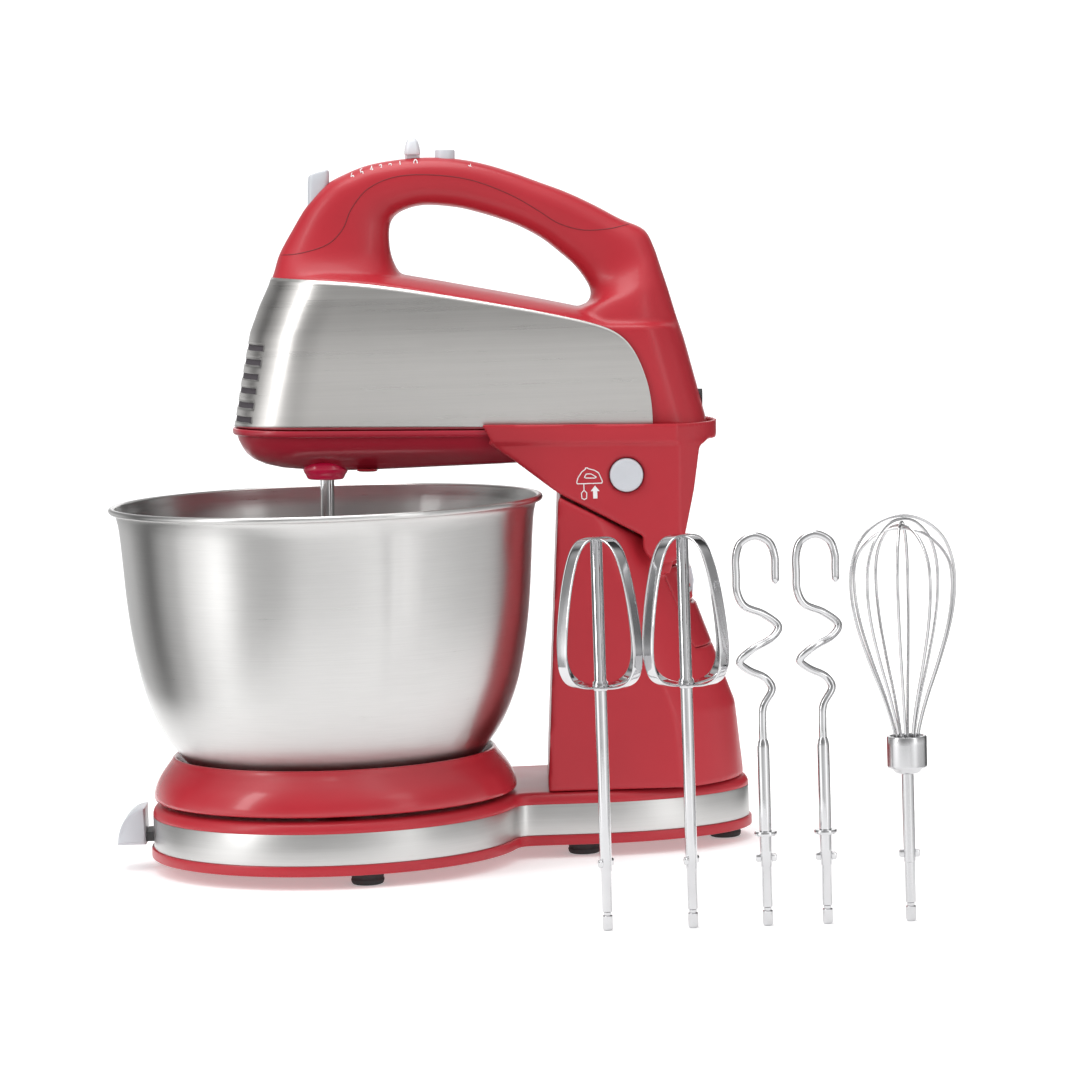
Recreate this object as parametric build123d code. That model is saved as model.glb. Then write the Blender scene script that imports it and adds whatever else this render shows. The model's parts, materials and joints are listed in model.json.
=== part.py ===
from build123d import *

import os
from math import cos, radians, sin

# A hand mixer on its tilting stand, with its bowl, its beaters and its loose tools.
# Millimetres, +Z up, +X towards the back of the mixer. Until the last step the frame
# stands on the bowl's axis; the pieces are then moved so that the origin is at the
# middle of the underside of the whole set.

# Base
BASE_RADIUS = 95.0
BLOCK_NEAR_Y = -14.0
BLOCK_FAR_Y = 102.0
BLOCK_TURN_X = 130.0
BLOCK_REAR = 86.0
FOOT_HEIGHT = 6.8
FOOT_RADIUS = 8.5
FOOT_PLACES = [(18, -78), (18, 78), (128, 2), (128, 86), (203, 44)]
TRIM_HEIGHT = 5.2
TRIM_LIP = 1.3
BAND_HEIGHT = 16.0
BAND_THICK = 1.2
SHOULDER_HEIGHT = 6.0
BASE_WALL = 3.0
SCREW_RADIUS = 1.6
SCREW_HEAD = 3.2
BASE_SCREW_PLACES = [(-55, -50), (-55, 50), (60, -60), (60, 80), (185, 44)]

# Turntable and bowl
SHIFT_TRAVEL = 12.0
ARM_THICK = 5.0
ARM_WIDTH = 20.0
SLOT_GAP = 1.0
TABLE_GAP = 2.0
TABLE_RADIUS = 94.0
TABLE_HEIGHT = 22.5
TABLE_FLOOR = 4.0
PIN_RADIUS = 5.0
RUNNING_GAP = 0.06
BOWL_WALL = 0.9
BOWL_SEAT_GAP = 1.2
BOWL_FOOT = 50.0
BOWL_HEIGHT = 146.5
RIM_BEAD = 1.6
KNOB_WIDTH = 26.0
KNOB_DEPTH = 15.0
KNOB_HEIGHT = 20.0

# Column and hinge
HEAD_Y = 44.0
COLUMN_FRONT = 110.0
COLUMN_LEAN = 10.0
COLUMN_HALF_LOW = 56.0
COLUMN_HALF_HIGH = 49.5
COLUMN_WALL = 3.0
HINGE_X = 174.0
HINGE_Z = 161.0
LOBE_RADIUS = 11.0
LUG_RADIUS = 9.5
LUG_INNER = 31.3
LUG_OUTER = 38.7
HINGE_PIN = 3.0
MOVING_GAP = 0.5
PANEL_HALF = 32.0
PANEL_WALL = 2.5
LEVER_X = 186.5
LEVER_Z = 133.5
LEVER_HALF = 16.0

# Mixer head, in its own frame: x along the mixer, z up from the flange
HEAD_Z = 223.5
PITCH = 1.5
STEEL = 0.8
HALF_WIDTH = 44.0
NOSE_BOW = 34.0
REAR_BOW = 22.0
HOUSING_WALL = 2.4
HANDLE_HALF = 15.2
HANDLE_WALL = 2.6
FLANGE = 2.0
FLANGE_HEIGHT = 3.0
TUB_DEPTH = 22.2
VENTS = 6
VENT_PITCH = 7.4
VENT_HEIGHT = 2.8
VENT_HALF = 31.0
MOTOR_Z = 30.0
SPINDLE_SPACING = 40.0
SOCKET_RADIUS = 7.0
COLLAR_RADIUS = 11.7
SHAFT_RADIUS = 3.0
WORM_RADIUS = 3.6
GEAR_GAP = 0.5
GEAR_THICK = 8.0
FIELD_FRONT = 56.0
FIELD_LENGTH = 46.0
FIELD_HALF = 27.0
CORE_RADIUS = 20.9
MIXER_SCREW_PLACES = [(22, -28), (22, 28), (160, -28), (160, 28)]

# Cord inlet
INLET_FRONT = 183.0
INLET_REAR = 197.2
INLET_RADIUS = 3.5

# Controls
EJECT_TRAVEL = 6.0
EJECT_HALF = 6.5
BUTTON_GAP = 0.35
BURST_X = 63.0
BURST_RADIUS = 5.25
TRACK_X = 54.3
TRACK_Z = 47.3
TRACK_RADIUS = 81.7
LEVER_HEIGHT = 151.0
RELEASE_X = 155.6
RELEASE_Z = 196.6
RELEASE_RADIUS = 8.6

# Cradle
CRADLE_INNER = 46.6
CRADLE_WALL = 2.4
CRADLE_BAND = 3.9
CRADLE_FLOOR = -23.2

# Tools
TOOL_LENGTH = 185.0
TOOL_SHAFT = 2.5
TAIL_LENGTH = 28.0
UPPER_SHAFT = 2.8
EAR_HEIGHT = 32.0
LOOP_HEIGHT = 71.0
LOOP_RADIUS = 25.0
STRIP_WIDTH = 6.0
STRIP_THICK = 1.2
HOOK_WIRE = 1.8
WHISK_WIRE = 0.7
WHISK_LOOPS = 5
WHISK_HEIGHT = 191.0
WHISK_RADIUS = 26.0
COLLAR_TOP = 87.4
WIRE_SEAT = 78.0
TAIL_SEAT = 17.0
TOOL_ROW_Y = -240.0
TOOL_ROW_X = [136.0, 176.0, 211.0, 239.0, 278.0]

BAND_LOW = FOOT_HEIGHT + TRIM_HEIGHT
BAND_TOP = BAND_LOW + BAND_HEIGHT
BASE_TOP = BAND_TOP + SHOULDER_HEIGHT
TABLE_LOW = BASE_TOP + TABLE_GAP
BOWL_LOW = TABLE_LOW + 6.0
BASE_MIDDLE_Y = (BLOCK_NEAR_Y + BLOCK_FAR_Y) / 2
FAR = 400.0


def slab(points, y_low, y_high):
    """A closed side outline of (x, z) points, carried from y_low to y_high."""
    edge = Polyline(*[(x, y_low, z) for x, z in points], close=True)
    return extrude(make_face(edge), amount=y_high - y_low, dir=(0, 1, 0))


def curved_slab(curves, y_low, y_high):
    """A side outline of splines and straight runs, carried from y_low to y_high."""
    edges = []
    for smooth, points in curves:
        run = [(x, y_low, z) for x, z in points]
        edges.append(Spline(*run) if smooth else Polyline(*run))
    return extrude(make_face(edges), amount=y_high - y_low, dir=(0, 1, 0))


def rise(sketch, z_low, z_high):
    """A plan sketch carried up from z_low to z_high."""
    return extrude(Pos(0, 0, z_low) * sketch, amount=z_high - z_low, dir=(0, 0, 1))


def post(x, y, z_low, z_high, radius):
    """An upright cylinder."""
    return Pos(x, y, (z_low + z_high) / 2) * Cylinder(radius, z_high - z_low)


def rod_x(x_low, x_high, y, z, radius):
    """A cylinder along X."""
    return Pos((x_low + x_high) / 2, y, z) * Rot(0, 90, 0) * Cylinder(radius, x_high - x_low)


def rod_y(x, z, y_low, y_high, radius):
    """A cylinder along Y."""
    return Pos(x, (y_low + y_high) / 2, z) * Rot(90, 0, 0) * Cylinder(radius, y_high - y_low)


def block(x_low, x_high, y_low, y_high, z_low, z_high):
    """A box between two corners."""
    middle = ((x_low + x_high) / 2, (y_low + y_high) / 2, (z_low + z_high) / 2)
    return Pos(*middle) * Box(x_high - x_low, y_high - y_low, z_high - z_low)


def turned(points):
    """A closed (radius, z) outline turned about the Z axis."""
    edge = Polyline(*[(r, 0, z) for r, z in points], close=True)
    return revolve(make_face(edge), Axis.Z)


def section(z, front, rear, half, front_bow, rear_bow):
    """A plan outline with straight sides and bowed ends."""
    near_front = (front + front_bow, -half, z)
    near_rear = (rear - rear_bow, -half, z)
    far_rear = (rear - rear_bow, half, z)
    far_front = (front + front_bow, half, z)
    edges = [
        Line(near_front, near_rear),
        ThreePointArc(near_rear, (rear, 0, z), far_rear),
        Line(far_rear, far_front),
        ThreePointArc(far_front, (front, 0, z), near_front),
    ]
    return make_face(edges)


def hull(rows, front_bow, rear_bow, inset=0.0):
    """Plan outlines (z, front, rear, half) joined from the lowest to the highest."""
    sections = []
    for z, front, rear, half in rows:
        sections.append(
            section(z, front + inset, rear - inset, half - inset, front_bow, rear_bow)
        )
    return loft(sections, ruled=True)


def on_head(shape):
    """Moves a piece from the mixer's own frame to its place on the stand."""
    return Pos(0, HEAD_Y, HEAD_Z) * Rot(0, PITCH, 0) * shape


def to_head(x, z):
    """The mixer-frame (x, z) of a point of the stand."""
    tilt = radians(PITCH)
    drop = z - HEAD_Z
    return (x * cos(tilt) - drop * sin(tilt), x * sin(tilt) + drop * cos(tilt))


def spindles():
    """The side and the name of each beater spindle."""
    return [("near", -SPINDLE_SPACING / 2), ("far", SPINDLE_SPACING / 2)]


# ---------------------------------------------------------------- base


def base_plan(grow):
    """The base's plan: the turntable's circle run into the block under the column."""
    disc = Circle(BASE_RADIUS + grow)
    far_side = Polygon(
        (0, 0),
        (BLOCK_TURN_X, 0),
        (BLOCK_TURN_X, BLOCK_FAR_Y + grow),
        (0, BASE_RADIUS + grow),
        align=None,
    )
    near_side = Polygon(
        (0, BLOCK_NEAR_Y - grow),
        (BLOCK_TURN_X, BLOCK_NEAR_Y - grow),
        (BLOCK_TURN_X, BASE_MIDDLE_Y),
        (0, BASE_MIDDLE_Y),
        align=None,
    )
    half = (BLOCK_FAR_Y - BLOCK_NEAR_Y) / 2 + grow
    rear = Pos(BLOCK_TURN_X, BASE_MIDDLE_Y) * Ellipse(BLOCK_REAR + grow, half)
    return disc + far_side + near_side + rear


def make_base():
    """The base's shell, band, bottom plate, feet and screws."""
    core = -BAND_THICK
    inner = -BAND_THICK - BASE_WALL
    knob_slot = block(
        -BASE_RADIUS - 5,
        -BASE_RADIUS + 9,
        -ARM_WIDTH / 2 - SLOT_GAP,
        ARM_WIDTH / 2 + SHIFT_TRAVEL + SLOT_GAP,
        BAND_LOW + 3 - SLOT_GAP,
        BAND_LOW + 3 + ARM_THICK + SLOT_GAP,
    )
    reach = PIN_RADIUS + 4 + SLOT_GAP
    post_slot = block(-reach, reach, -reach, reach + SHIFT_TRAVEL, BAND_TOP, BASE_TOP + 1)
    shell = rise(base_plan(core), BAND_LOW, BAND_TOP) + rise(base_plan(0), BAND_TOP, BASE_TOP)
    shell -= rise(base_plan(inner), BAND_LOW, BASE_TOP - BASE_WALL)
    plate = rise(base_plan(TRIM_LIP), FOOT_HEIGHT, BAND_LOW)
    screws = []
    for x, y in BASE_SCREW_PLACES:
        shell += post(x, y, BAND_LOW, BASE_TOP - BASE_WALL, 3 * SCREW_RADIUS)
        shell -= post(x, y, BAND_LOW, BAND_TOP - 2, SCREW_RADIUS)
        plate -= post(x, y, FOOT_HEIGHT, BAND_LOW, SCREW_RADIUS)
        plate -= post(x, y, FOOT_HEIGHT, FOOT_HEIGHT + 3, SCREW_HEAD)
        screw = post(x, y, FOOT_HEIGHT + 1, FOOT_HEIGHT + 3, SCREW_HEAD)
        screw += post(x, y, FOOT_HEIGHT + 3, BAND_TOP - 4, SCREW_RADIUS)
        screws.append(screw)
    feet = [post(x, y, 0, FOOT_HEIGHT, FOOT_RADIUS) for x, y in FOOT_PLACES]
    band = rise(base_plan(0) - base_plan(core), BAND_LOW, BAND_TOP)
    return {
        "base_shell": shell - knob_slot - post_slot,
        "base_band": band - knob_slot,
        "base_plate": plate,
        "rubber_feet": Compound(feet),
        "base_screws": Compound(screws),
    }


def bowl_curve(inset):
    """The bowl's wall as (radius, z) points from its foot to its rim."""
    rows = [(58, 1), (70, 6), (80, 16), (91.5, 35.5), (99.3, 63), (103.5, 88)]
    rows += [(105.5, 113), (107.3, 140)]
    return [(r - inset, BOWL_LOW + h) for r, h in rows]


def make_turntable():
    """The shift arm and its knob, the turntable on its pin, and the bowl."""
    arm_low = BAND_LOW + 3
    arm_top = arm_low + ARM_THICK
    knob_face = -BASE_RADIUS - 3.5
    arm = block(knob_face, 14, -ARM_WIDTH / 2, ARM_WIDTH / 2, arm_low, arm_top)
    arm += post(0, 0, arm_top, TABLE_LOW, PIN_RADIUS + 4)
    arm -= post(0, 0, arm_low, TABLE_LOW, PIN_RADIUS)
    pin = post(0, 0, arm_low, BOWL_LOW - 1.5, PIN_RADIUS)
    knob = Pos(knob_face, 0, BAND_LOW + 1) * rod_y(0, 0, -KNOB_WIDTH / 2, KNOB_WIDTH / 2, KNOB_HEIGHT)
    knob &= block(
        knob_face - KNOB_DEPTH,
        knob_face,
        -KNOB_WIDTH / 2,
        KNOB_WIDTH / 2,
        BAND_LOW + 1,
        BAND_LOW + 1 + KNOB_HEIGHT,
    )
    lip = TABLE_LOW + TABLE_HEIGHT
    gap = BOWL_SEAT_GAP
    table = turned([
        (0, TABLE_LOW + 1),
        (TABLE_RADIUS - 4, TABLE_LOW + 1),
        (TABLE_RADIUS - 3, TABLE_LOW),
        (TABLE_RADIUS, TABLE_LOW),
        (TABLE_RADIUS - 2, TABLE_LOW + 5),
        (TABLE_RADIUS - 4, TABLE_LOW + 11.5),
        (TABLE_RADIUS - 7.9, TABLE_LOW + 17.7),
        (TABLE_RADIUS - 11.6, lip),
        (81 + gap, lip),
        (80 + gap, BOWL_LOW + 16 - gap),
        (70 + gap, BOWL_LOW + 6 - gap),
        (58 + gap, BOWL_LOW + 1 - gap),
        (BOWL_FOOT + 2, BOWL_LOW - gap),
        (BOWL_FOOT - 4, BOWL_LOW),
        (0, BOWL_LOW),
    ])
    table -= post(0, 0, TABLE_LOW, BOWL_LOW - 1.2, PIN_RADIUS + RUNNING_GAP)
    rim = BOWL_LOW + BOWL_HEIGHT - RIM_BEAD
    outer = [(0, BOWL_LOW), (BOWL_FOOT, BOWL_LOW)]
    inner = [(BOWL_FOOT, BOWL_LOW + BOWL_WALL), (0, BOWL_LOW + BOWL_WALL)]
    out_wall = [outer[-1]] + bowl_curve(0) + [(110.6, rim)]
    in_wall = [(110.6 - BOWL_WALL, rim)] + bowl_curve(BOWL_WALL)[::-1] + [inner[0]]
    edges = [
        Polyline(*[(r, 0, z) for r, z in outer]),
        Spline(*[(r, 0, z) for r, z in out_wall]),
        Line((110.6, 0, rim), (110.6 - BOWL_WALL, 0, rim)),
        Spline(*[(r, 0, z) for r, z in in_wall]),
        Polyline(*[(r, 0, z) for r, z in inner]),
        Line((0, 0, inner[1][1]), (0, 0, BOWL_LOW)),
    ]
    bowl = revolve(make_face(edges), Axis.Z)
    bowl += Pos(0, 0, rim) * Torus(110.6, RIM_BEAD)
    return {
        "shift_arm": arm,
        "shift_knob": knob,
        "turntable_pin": pin,
        "turntable": table,
        "mixing_bowl": bowl,
    }


# ---------------------------------------------------------------- column


def column_side():
    """The column's side outline, from its front foot round over the top."""
    return [
        (COLUMN_FRONT, BASE_TOP),
        (COLUMN_FRONT + COLUMN_LEAN, 186.6),
        (163.0, 163.4),
        (HINGE_X, HINGE_Z - 2),
        (HINGE_X + 6.6, 151.4),
        (183.9, 145.4),
        (196.9, 109.2),
        (210.0, 72.4),
        (213.6, BASE_TOP),
    ]


def column_rows():
    """The column's plan outlines, from the base to above its top."""
    rear = [(BASE_TOP - 1, 213.7), (BASE_TOP, 213.6), (72.4, 210.0), (109.2, 196.9)]
    rear += [(145.4, 183.9), (190.0, 168.0)]
    rows = []
    for z, back in rear:
        share = (z - BASE_TOP) / (190.0 - BASE_TOP)
        half = COLUMN_HALF_LOW + (COLUMN_HALF_HIGH - COLUMN_HALF_LOW) * share
        rows.append((z, COLUMN_FRONT, back, half))
    return rows


def make_column():
    """The column's shell with the hinge's lugs, its back panel, pin and tilt lever."""
    front_bow = 0.5
    body = hull(column_rows(), front_bow, 34)
    inside = hull(column_rows(), front_bow, 34, COLUMN_WALL)
    body &= slab(column_side(), -60, 60)
    ceiling = HINGE_Z - LOBE_RADIUS - MOVING_GAP - COLUMN_WALL
    cavity_side = [
        (COLUMN_FRONT + COLUMN_WALL, BASE_TOP - 1),
        (COLUMN_FRONT + COLUMN_LEAN + COLUMN_WALL, 180),
        (HINGE_X - 17, HINGE_Z - 2.5),
        (HINGE_X - 17, ceiling),
        (230, ceiling),
        (230, BASE_TOP - 1),
    ]
    cavity = slab(cavity_side, -60, 60) & inside
    pocket = rod_y(HINGE_X, HINGE_Z, -60, 60, LOBE_RADIUS + MOVING_GAP)
    shell = body - cavity - pocket
    pin_hole = rod_y(HINGE_X, HINGE_Z, -50, 50, HINGE_PIN)
    for side in (-1, 1):
        low, high = sorted((side * LUG_INNER, side * LUG_OUTER))
        lug = rod_y(HINGE_X, HINGE_Z, low, high, LUG_RADIUS)
        lug += slab(
            [
                (HINGE_X - 8, HINGE_Z - 17),
                (HINGE_X + 3, HINGE_Z - 17),
                (HINGE_X + 6, HINGE_Z - 6),
                (HINGE_X - 8, HINGE_Z - 4),
            ],
            low,
            high,
        )
        shell += lug
    shell -= pin_hole
    window = block(150, 230, -PANEL_HALF, PANEL_HALF, 104, 146)
    skin_hull = hull(column_rows(), front_bow, 34, PANEL_WALL)
    panel = ((body - skin_hull) & window) & block(170, 230, -FAR, FAR, 0, FAR)
    shell -= block(170, 230, -PANEL_HALF, PANEL_HALF, 104, 146)
    lever_slot = block(176, 200, -LEVER_HALF - MOVING_GAP, LEVER_HALF + MOVING_GAP, 126, 147)
    panel -= lever_slot
    ear_low = LEVER_HALF + MOVING_GAP
    for side in (-1, 1):
        low, high = sorted((side * ear_low, side * (ear_low + 4)))
        panel += slab([(181, 129), (189.2, 129), (187.6, 137), (181, 139)], low, high)
    panel -= rod_y(LEVER_X, LEVER_Z, -ear_low - 5, ear_low + 5, 1.5)
    lever = slab(
        [
            (LEVER_X - 2.4, 130),
            (LEVER_X + 2.4, 130),
            (LEVER_X + 3.4, 138),
            (LEVER_X + 2.2, 145),
            (LEVER_X - 2.0, 145),
            (LEVER_X - 2.6, 138),
        ],
        -LEVER_HALF,
        LEVER_HALF,
    )
    lever -= rod_y(LEVER_X, LEVER_Z, -30, 30, 1.5 + RUNNING_GAP)
    lever_pin = rod_y(LEVER_X, LEVER_Z, -ear_low - 4, ear_low + 4, 1.5)
    pin = rod_y(HINGE_X, HINGE_Z, -46, 46, HINGE_PIN)
    pieces = {
        "column_shell": shell,
        "column_back_panel": panel,
        "hinge_pin": pin,
        "tilt_lever": lever,
        "tilt_lever_pin": lever_pin,
    }
    return {name: Pos(0, HEAD_Y, 0) * piece for name, piece in pieces.items()}


# ---------------------------------------------------------------- cradle


def make_cradle():
    """The tilting cradle that carries the mixer, and its release button."""
    hinge = to_head(HINGE_X, HINGE_Z)
    half = CRADLE_INNER + CRADLE_WALL
    rear_out = 204.5
    side = [
        (84.5, -6),
        to_head(97.7, 205.9),
        to_head(120.2, 188.0),
        to_head(163.6, 164.4),
        hinge,
        to_head(184.9, 164.0),
        to_head(190.5, 187.4),
        (194.4, -9),
        (199, -6),
    ]
    body = slab(side, -half, half)
    body &= hull([(-90, 60, 206, half), (10, 60, 206, half)], 0.5, REAR_BOW)
    body += rod_y(hinge[0], hinge[1], -half, half, LOBE_RADIUS)
    band = slab([(82, 3.5), (87, -6), (FAR, -6), (FAR, 3.5)], -FAR, FAR)
    outer_rows = [(-6, 60, rear_out, half + 1.5), (3.5, 60, rear_out, half + 1.5)]
    outer = hull(outer_rows, 0.5, REAR_BOW)
    body += band & outer
    well_rows = [
        (CRADLE_FLOOR, 50, 186.0, CRADLE_INNER - 4),
        (-9, 50, 191.6, CRADLE_INNER - 0.8),
        (-4, 50, 202.6, CRADLE_INNER),
        (8, 50, 202.6, CRADLE_INNER),
    ]
    well = hull(well_rows, 0.5, REAR_BOW)
    body -= well
    hollow = slab(
        [
            (120, CRADLE_FLOOR - 3),
            (186, CRADLE_FLOOR - 3),
            (184, -42),
            (162, -42),
            (162, -70),
            (112, -40),
        ],
        -half + 3,
        half - 3,
    )
    hollow -= rod_y(hinge[0], hinge[1], -half, half, LOBE_RADIUS + 1)
    body -= hollow
    for side_sign in (-1, 1):
        low, high = sorted((side_sign * (LUG_INNER - 0.3), side_sign * (LUG_OUTER + 0.3)))
        body -= rod_y(hinge[0], hinge[1], low, high, LOBE_RADIUS + 1.2)
    body -= rod_y(hinge[0], hinge[1], -46.3, half + 1, HINGE_PIN + RUNNING_GAP)
    button_x, button_z = to_head(RELEASE_X, RELEASE_Z)
    body -= rod_y(button_x, button_z, -half - 2, -half + 8, RELEASE_RADIUS + 0.3)
    button = rod_y(button_x, button_z, -half - 2.6, -half + 4, RELEASE_RADIUS)
    button = fillet(button.edges().sort_by(Axis.Y)[0], 1.2)
    return {"cradle_shell": on_head(body), "release_button": on_head(button)}


# ---------------------------------------------------------------- mixer


HOUSING_ROWS = [
    (0, -47.0, 200.0, 43.2),
    (50, -38.1, 186.6, 43.2),
    (62, -34.0, 183.0, 42.4),
    (72, -30.0, 179.6, 38.5),
    (82, -26.8, 177.0, 29.5),
    (92, -26.0, 176.0, 21.0),
    (104, -30.0, 176.0, 16.0),
    (112, -30.0, 176.0, HANDLE_HALF),
    (150, -30.0, 176.0, HANDLE_HALF),
]
TOP_LINE = [
    (-23.9, 90.8), (-9.5, 115.5), (6.9, 131.8), (22.8, 136.9), (38.6, 139.7), (54.4, 141.0),
    (70.2, 139.8), (94.4, 133.8), (126.0, 122.5), (159.0, 105.8), (169.6, 101.2),
]
REAR_LINE = [(169.6, 101.2), (177.8, 76.4), (188.3, 44.7), (201.0, 0.0)]
FRONT_LINE = [(-48.0, 0.0), (-38.9, 49.8), (-29.2, 74.0), (-23.9, 90.8)]
HOLE_LOOP = [
    (133.5, 62.6), (138.7, 67.0), (137.8, 73.1), (127.3, 87.3), (115.3, 96.9), (101.3, 104.8),
    (83.8, 110.9), (66.4, 115.1), (52.4, 115.8), (42.0, 113.5), (34.9, 108.7), (33.6, 97.0),
    (35.6, 85.0), (41.8, 78.8),
]
SEAM_LINE = [
    (-23.9, 90.3), (-11.7, 91.6), (2.3, 96.2), (9.9, 103.8), (14.5, 114.3), (23.1, 124.6),
    (37.2, 130.7), (56.2, 131.7), (77.1, 128.8), (98.0, 120.8), (111.6, 112.9), (122.1, 106.3),
    (134.4, 102.8), (148.2, 103.3), (159.6, 106.0),
]
STEEL_TOP = [
    (-31.0, 79.5), (-13.6, 78.4), (15.6, 76.6), (41.1, 73.5), (83.9, 66.5), (118.3, 60.1),
    (143.7, 53.9), (154.0, 48.6), (161.0, 40.2), (166.8, 26.3), (169.3, 14.3), (170.2, 2.0),
]


def mixer_block():
    """The mixer's outer form above the flange, with the handle's opening."""
    form = hull(HOUSING_ROWS, NOSE_BOW, REAR_BOW)
    side = curved_slab(
        [(False, FRONT_LINE), (True, TOP_LINE), (False, REAR_LINE + [FRONT_LINE[0]])], -60, 60
    )
    opening = curved_slab([(True, HOLE_LOOP), (False, [HOLE_LOOP[-1], HOLE_LOOP[0]])], -60, 60)
    return (form & side) - opening


def mixer_inside():
    """The hollow of the handle and its posts, inside the handle's wall."""
    outline = Polygon(*(FRONT_LINE + TOP_LINE[1:] + REAR_LINE[1:]), align=None)
    outline -= Polygon(*HOLE_LOOP, align=None)
    hollow = extrude(
        Plane.XZ * offset(outline, -HANDLE_WALL, kind=Kind.INTERSECTION),
        amount=HANDLE_HALF - HANDLE_WALL,
        both=True,
    )
    return hollow & block(-FAR, FAR, -FAR, FAR, 55, FAR)


def make_housing():
    """The mixer's housing, handle cover, steel wrap and lower tub."""
    form = mixer_block()
    inside = mixer_inside()
    over_seam = curved_slab(
        [
            (True, SEAM_LINE),
            (False, [SEAM_LINE[-1], (175, 160), (-70, 160), (-70, 90.3), SEAM_LINE[0]]),
        ],
        -60,
        60,
    )
    cover = (form & over_seam) - inside
    housing = form - over_seam - inside
    room = hull([row for row in HOUSING_ROWS if row[0] < 90], NOSE_BOW, REAR_BOW, HOUSING_WALL)
    room &= slab([(-70, -1), (-70, 70), (38, 71), (134, 56.5), (215, 56.5), (215, -1)], -60, 60)
    housing -= room
    housing -= hull([(-1, -47.0, 200.0, 43.2), (0.5, -47.0, 200.0, 43.2)], NOSE_BOW, REAR_BOW, HOUSING_WALL)
    bracket = block(140, 144, -42, 42, 3, 56)
    housing += bracket & hull(HOUSING_ROWS, NOSE_BOW, REAR_BOW, 1.0)
    housing -= rod_x(139, 145, 0, MOTOR_Z, 6)
    tub_rows = [
        (-TUB_DEPTH, -24, 182, 33),
        (-15, -42, 186, 40),
        (-FLANGE_HEIGHT, -47.0, 194.0, 43.6),
    ]
    tub = hull(tub_rows, NOSE_BOW, REAR_BOW)
    tub &= slab(
        [(-60, 0), (-60, -15), (-30.5, -19.3), (-13, -21.6), (9.7, -TUB_DEPTH), (48, -21.5),
         (97, -18.4), (215, -16), (215, 0)],
        -60,
        60,
    )
    rim = (-FLANGE_HEIGHT, -49.0, 202.0, HALF_WIDTH + FLANGE)
    tub += hull([rim, (0,) + rim[1:]], NOSE_BOW, REAR_BOW)
    pan_rows = [(row[0] + HOUSING_WALL, *row[1:]) for row in tub_rows]
    pan = hull(pan_rows + [(0.5, -47.0, 194.0, 43.6)], NOSE_BOW, REAR_BOW, HOUSING_WALL)
    pan &= slab(
        [(-60, 1), (-60, -12), (-30, -16.8), (-13, -19.2), (9.7, 2.4 - TUB_DEPTH), (48, -19.1),
         (97, -16), (215, -13.6), (215, 1)],
        -60,
        60,
    )
    tub_form = tub
    tub -= pan
    for front in (FIELD_FRONT + 4, FIELD_FRONT + FIELD_LENGTH - 8, 128):
        rib = block(front, front + 3, -24, 24, -TUB_DEPTH, 0) & tub_form
        tub += rib + block(front, front + 3, -24, 24, -1, MOTOR_Z - FIELD_HALF)
    screws = []
    for x, y in MIXER_SCREW_PLACES:
        housing += post(x, y, 0, 74, 4) & form
        housing -= post(x, y, 0, 20, SCREW_RADIUS)
        tub += post(x, y, -TUB_DEPTH, 0, 5) & tub_form
        tub -= post(x, y, -TUB_DEPTH - 1, 0, SCREW_RADIUS)
        tub -= post(x, y, -TUB_DEPTH - 1, -9, SCREW_HEAD)
        screws.append(post(x, y, -11, -9, SCREW_HEAD) + post(x, y, -9, 18, SCREW_RADIUS))
    for _, y in spindles():
        tub -= post(0, y, -TUB_DEPTH - 5, -10, COLLAR_RADIUS + 0.4)
    eject = block(-9.35, 3.55, -EJECT_HALF - BUTTON_GAP, EJECT_HALF + BUTTON_GAP, 92, 145)
    cover -= eject
    cover -= post(BURST_X, 0, 120, 150, BURST_RADIUS + BUTTON_GAP)
    cover -= block(6, 49, -2.2, 2.2, 126, 150)
    housing -= block(-9.35, 3.55, -EJECT_HALF - BUTTON_GAP, EJECT_HALF + BUTTON_GAP, 60, 100)
    housing -= rod_x(180, 205, 0, 14, 5)
    wrap = hull(HOUSING_ROWS[:4], NOSE_BOW, REAR_BOW, -STEEL) - hull(HOUSING_ROWS[:4], NOSE_BOW, REAR_BOW)
    wrap &= slab([(-60, 1.2), (-60, 79.5)] + STEEL_TOP[1:], -60, 60)
    for row in range(VENTS):
        z = 42.5 - row * VENT_PITCH
        wrap -= block(-60, -8, -VENT_HALF, VENT_HALF, z - VENT_HEIGHT / 2, z + VENT_HEIGHT / 2)
    grommet = rod_x(INLET_FRONT, INLET_REAR, 0, 14, 5)
    grommet -= rod_x(INLET_FRONT - 1, INLET_REAR + 1, 0, 14, INLET_RADIUS)
    return {
        "body_housing": housing,
        "handle_cover": cover,
        "steel_wrap": wrap,
        "lower_tub": tub,
        "mixer_screws": Compound(screws),
        "cord_grommet": grommet,
    }


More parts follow.
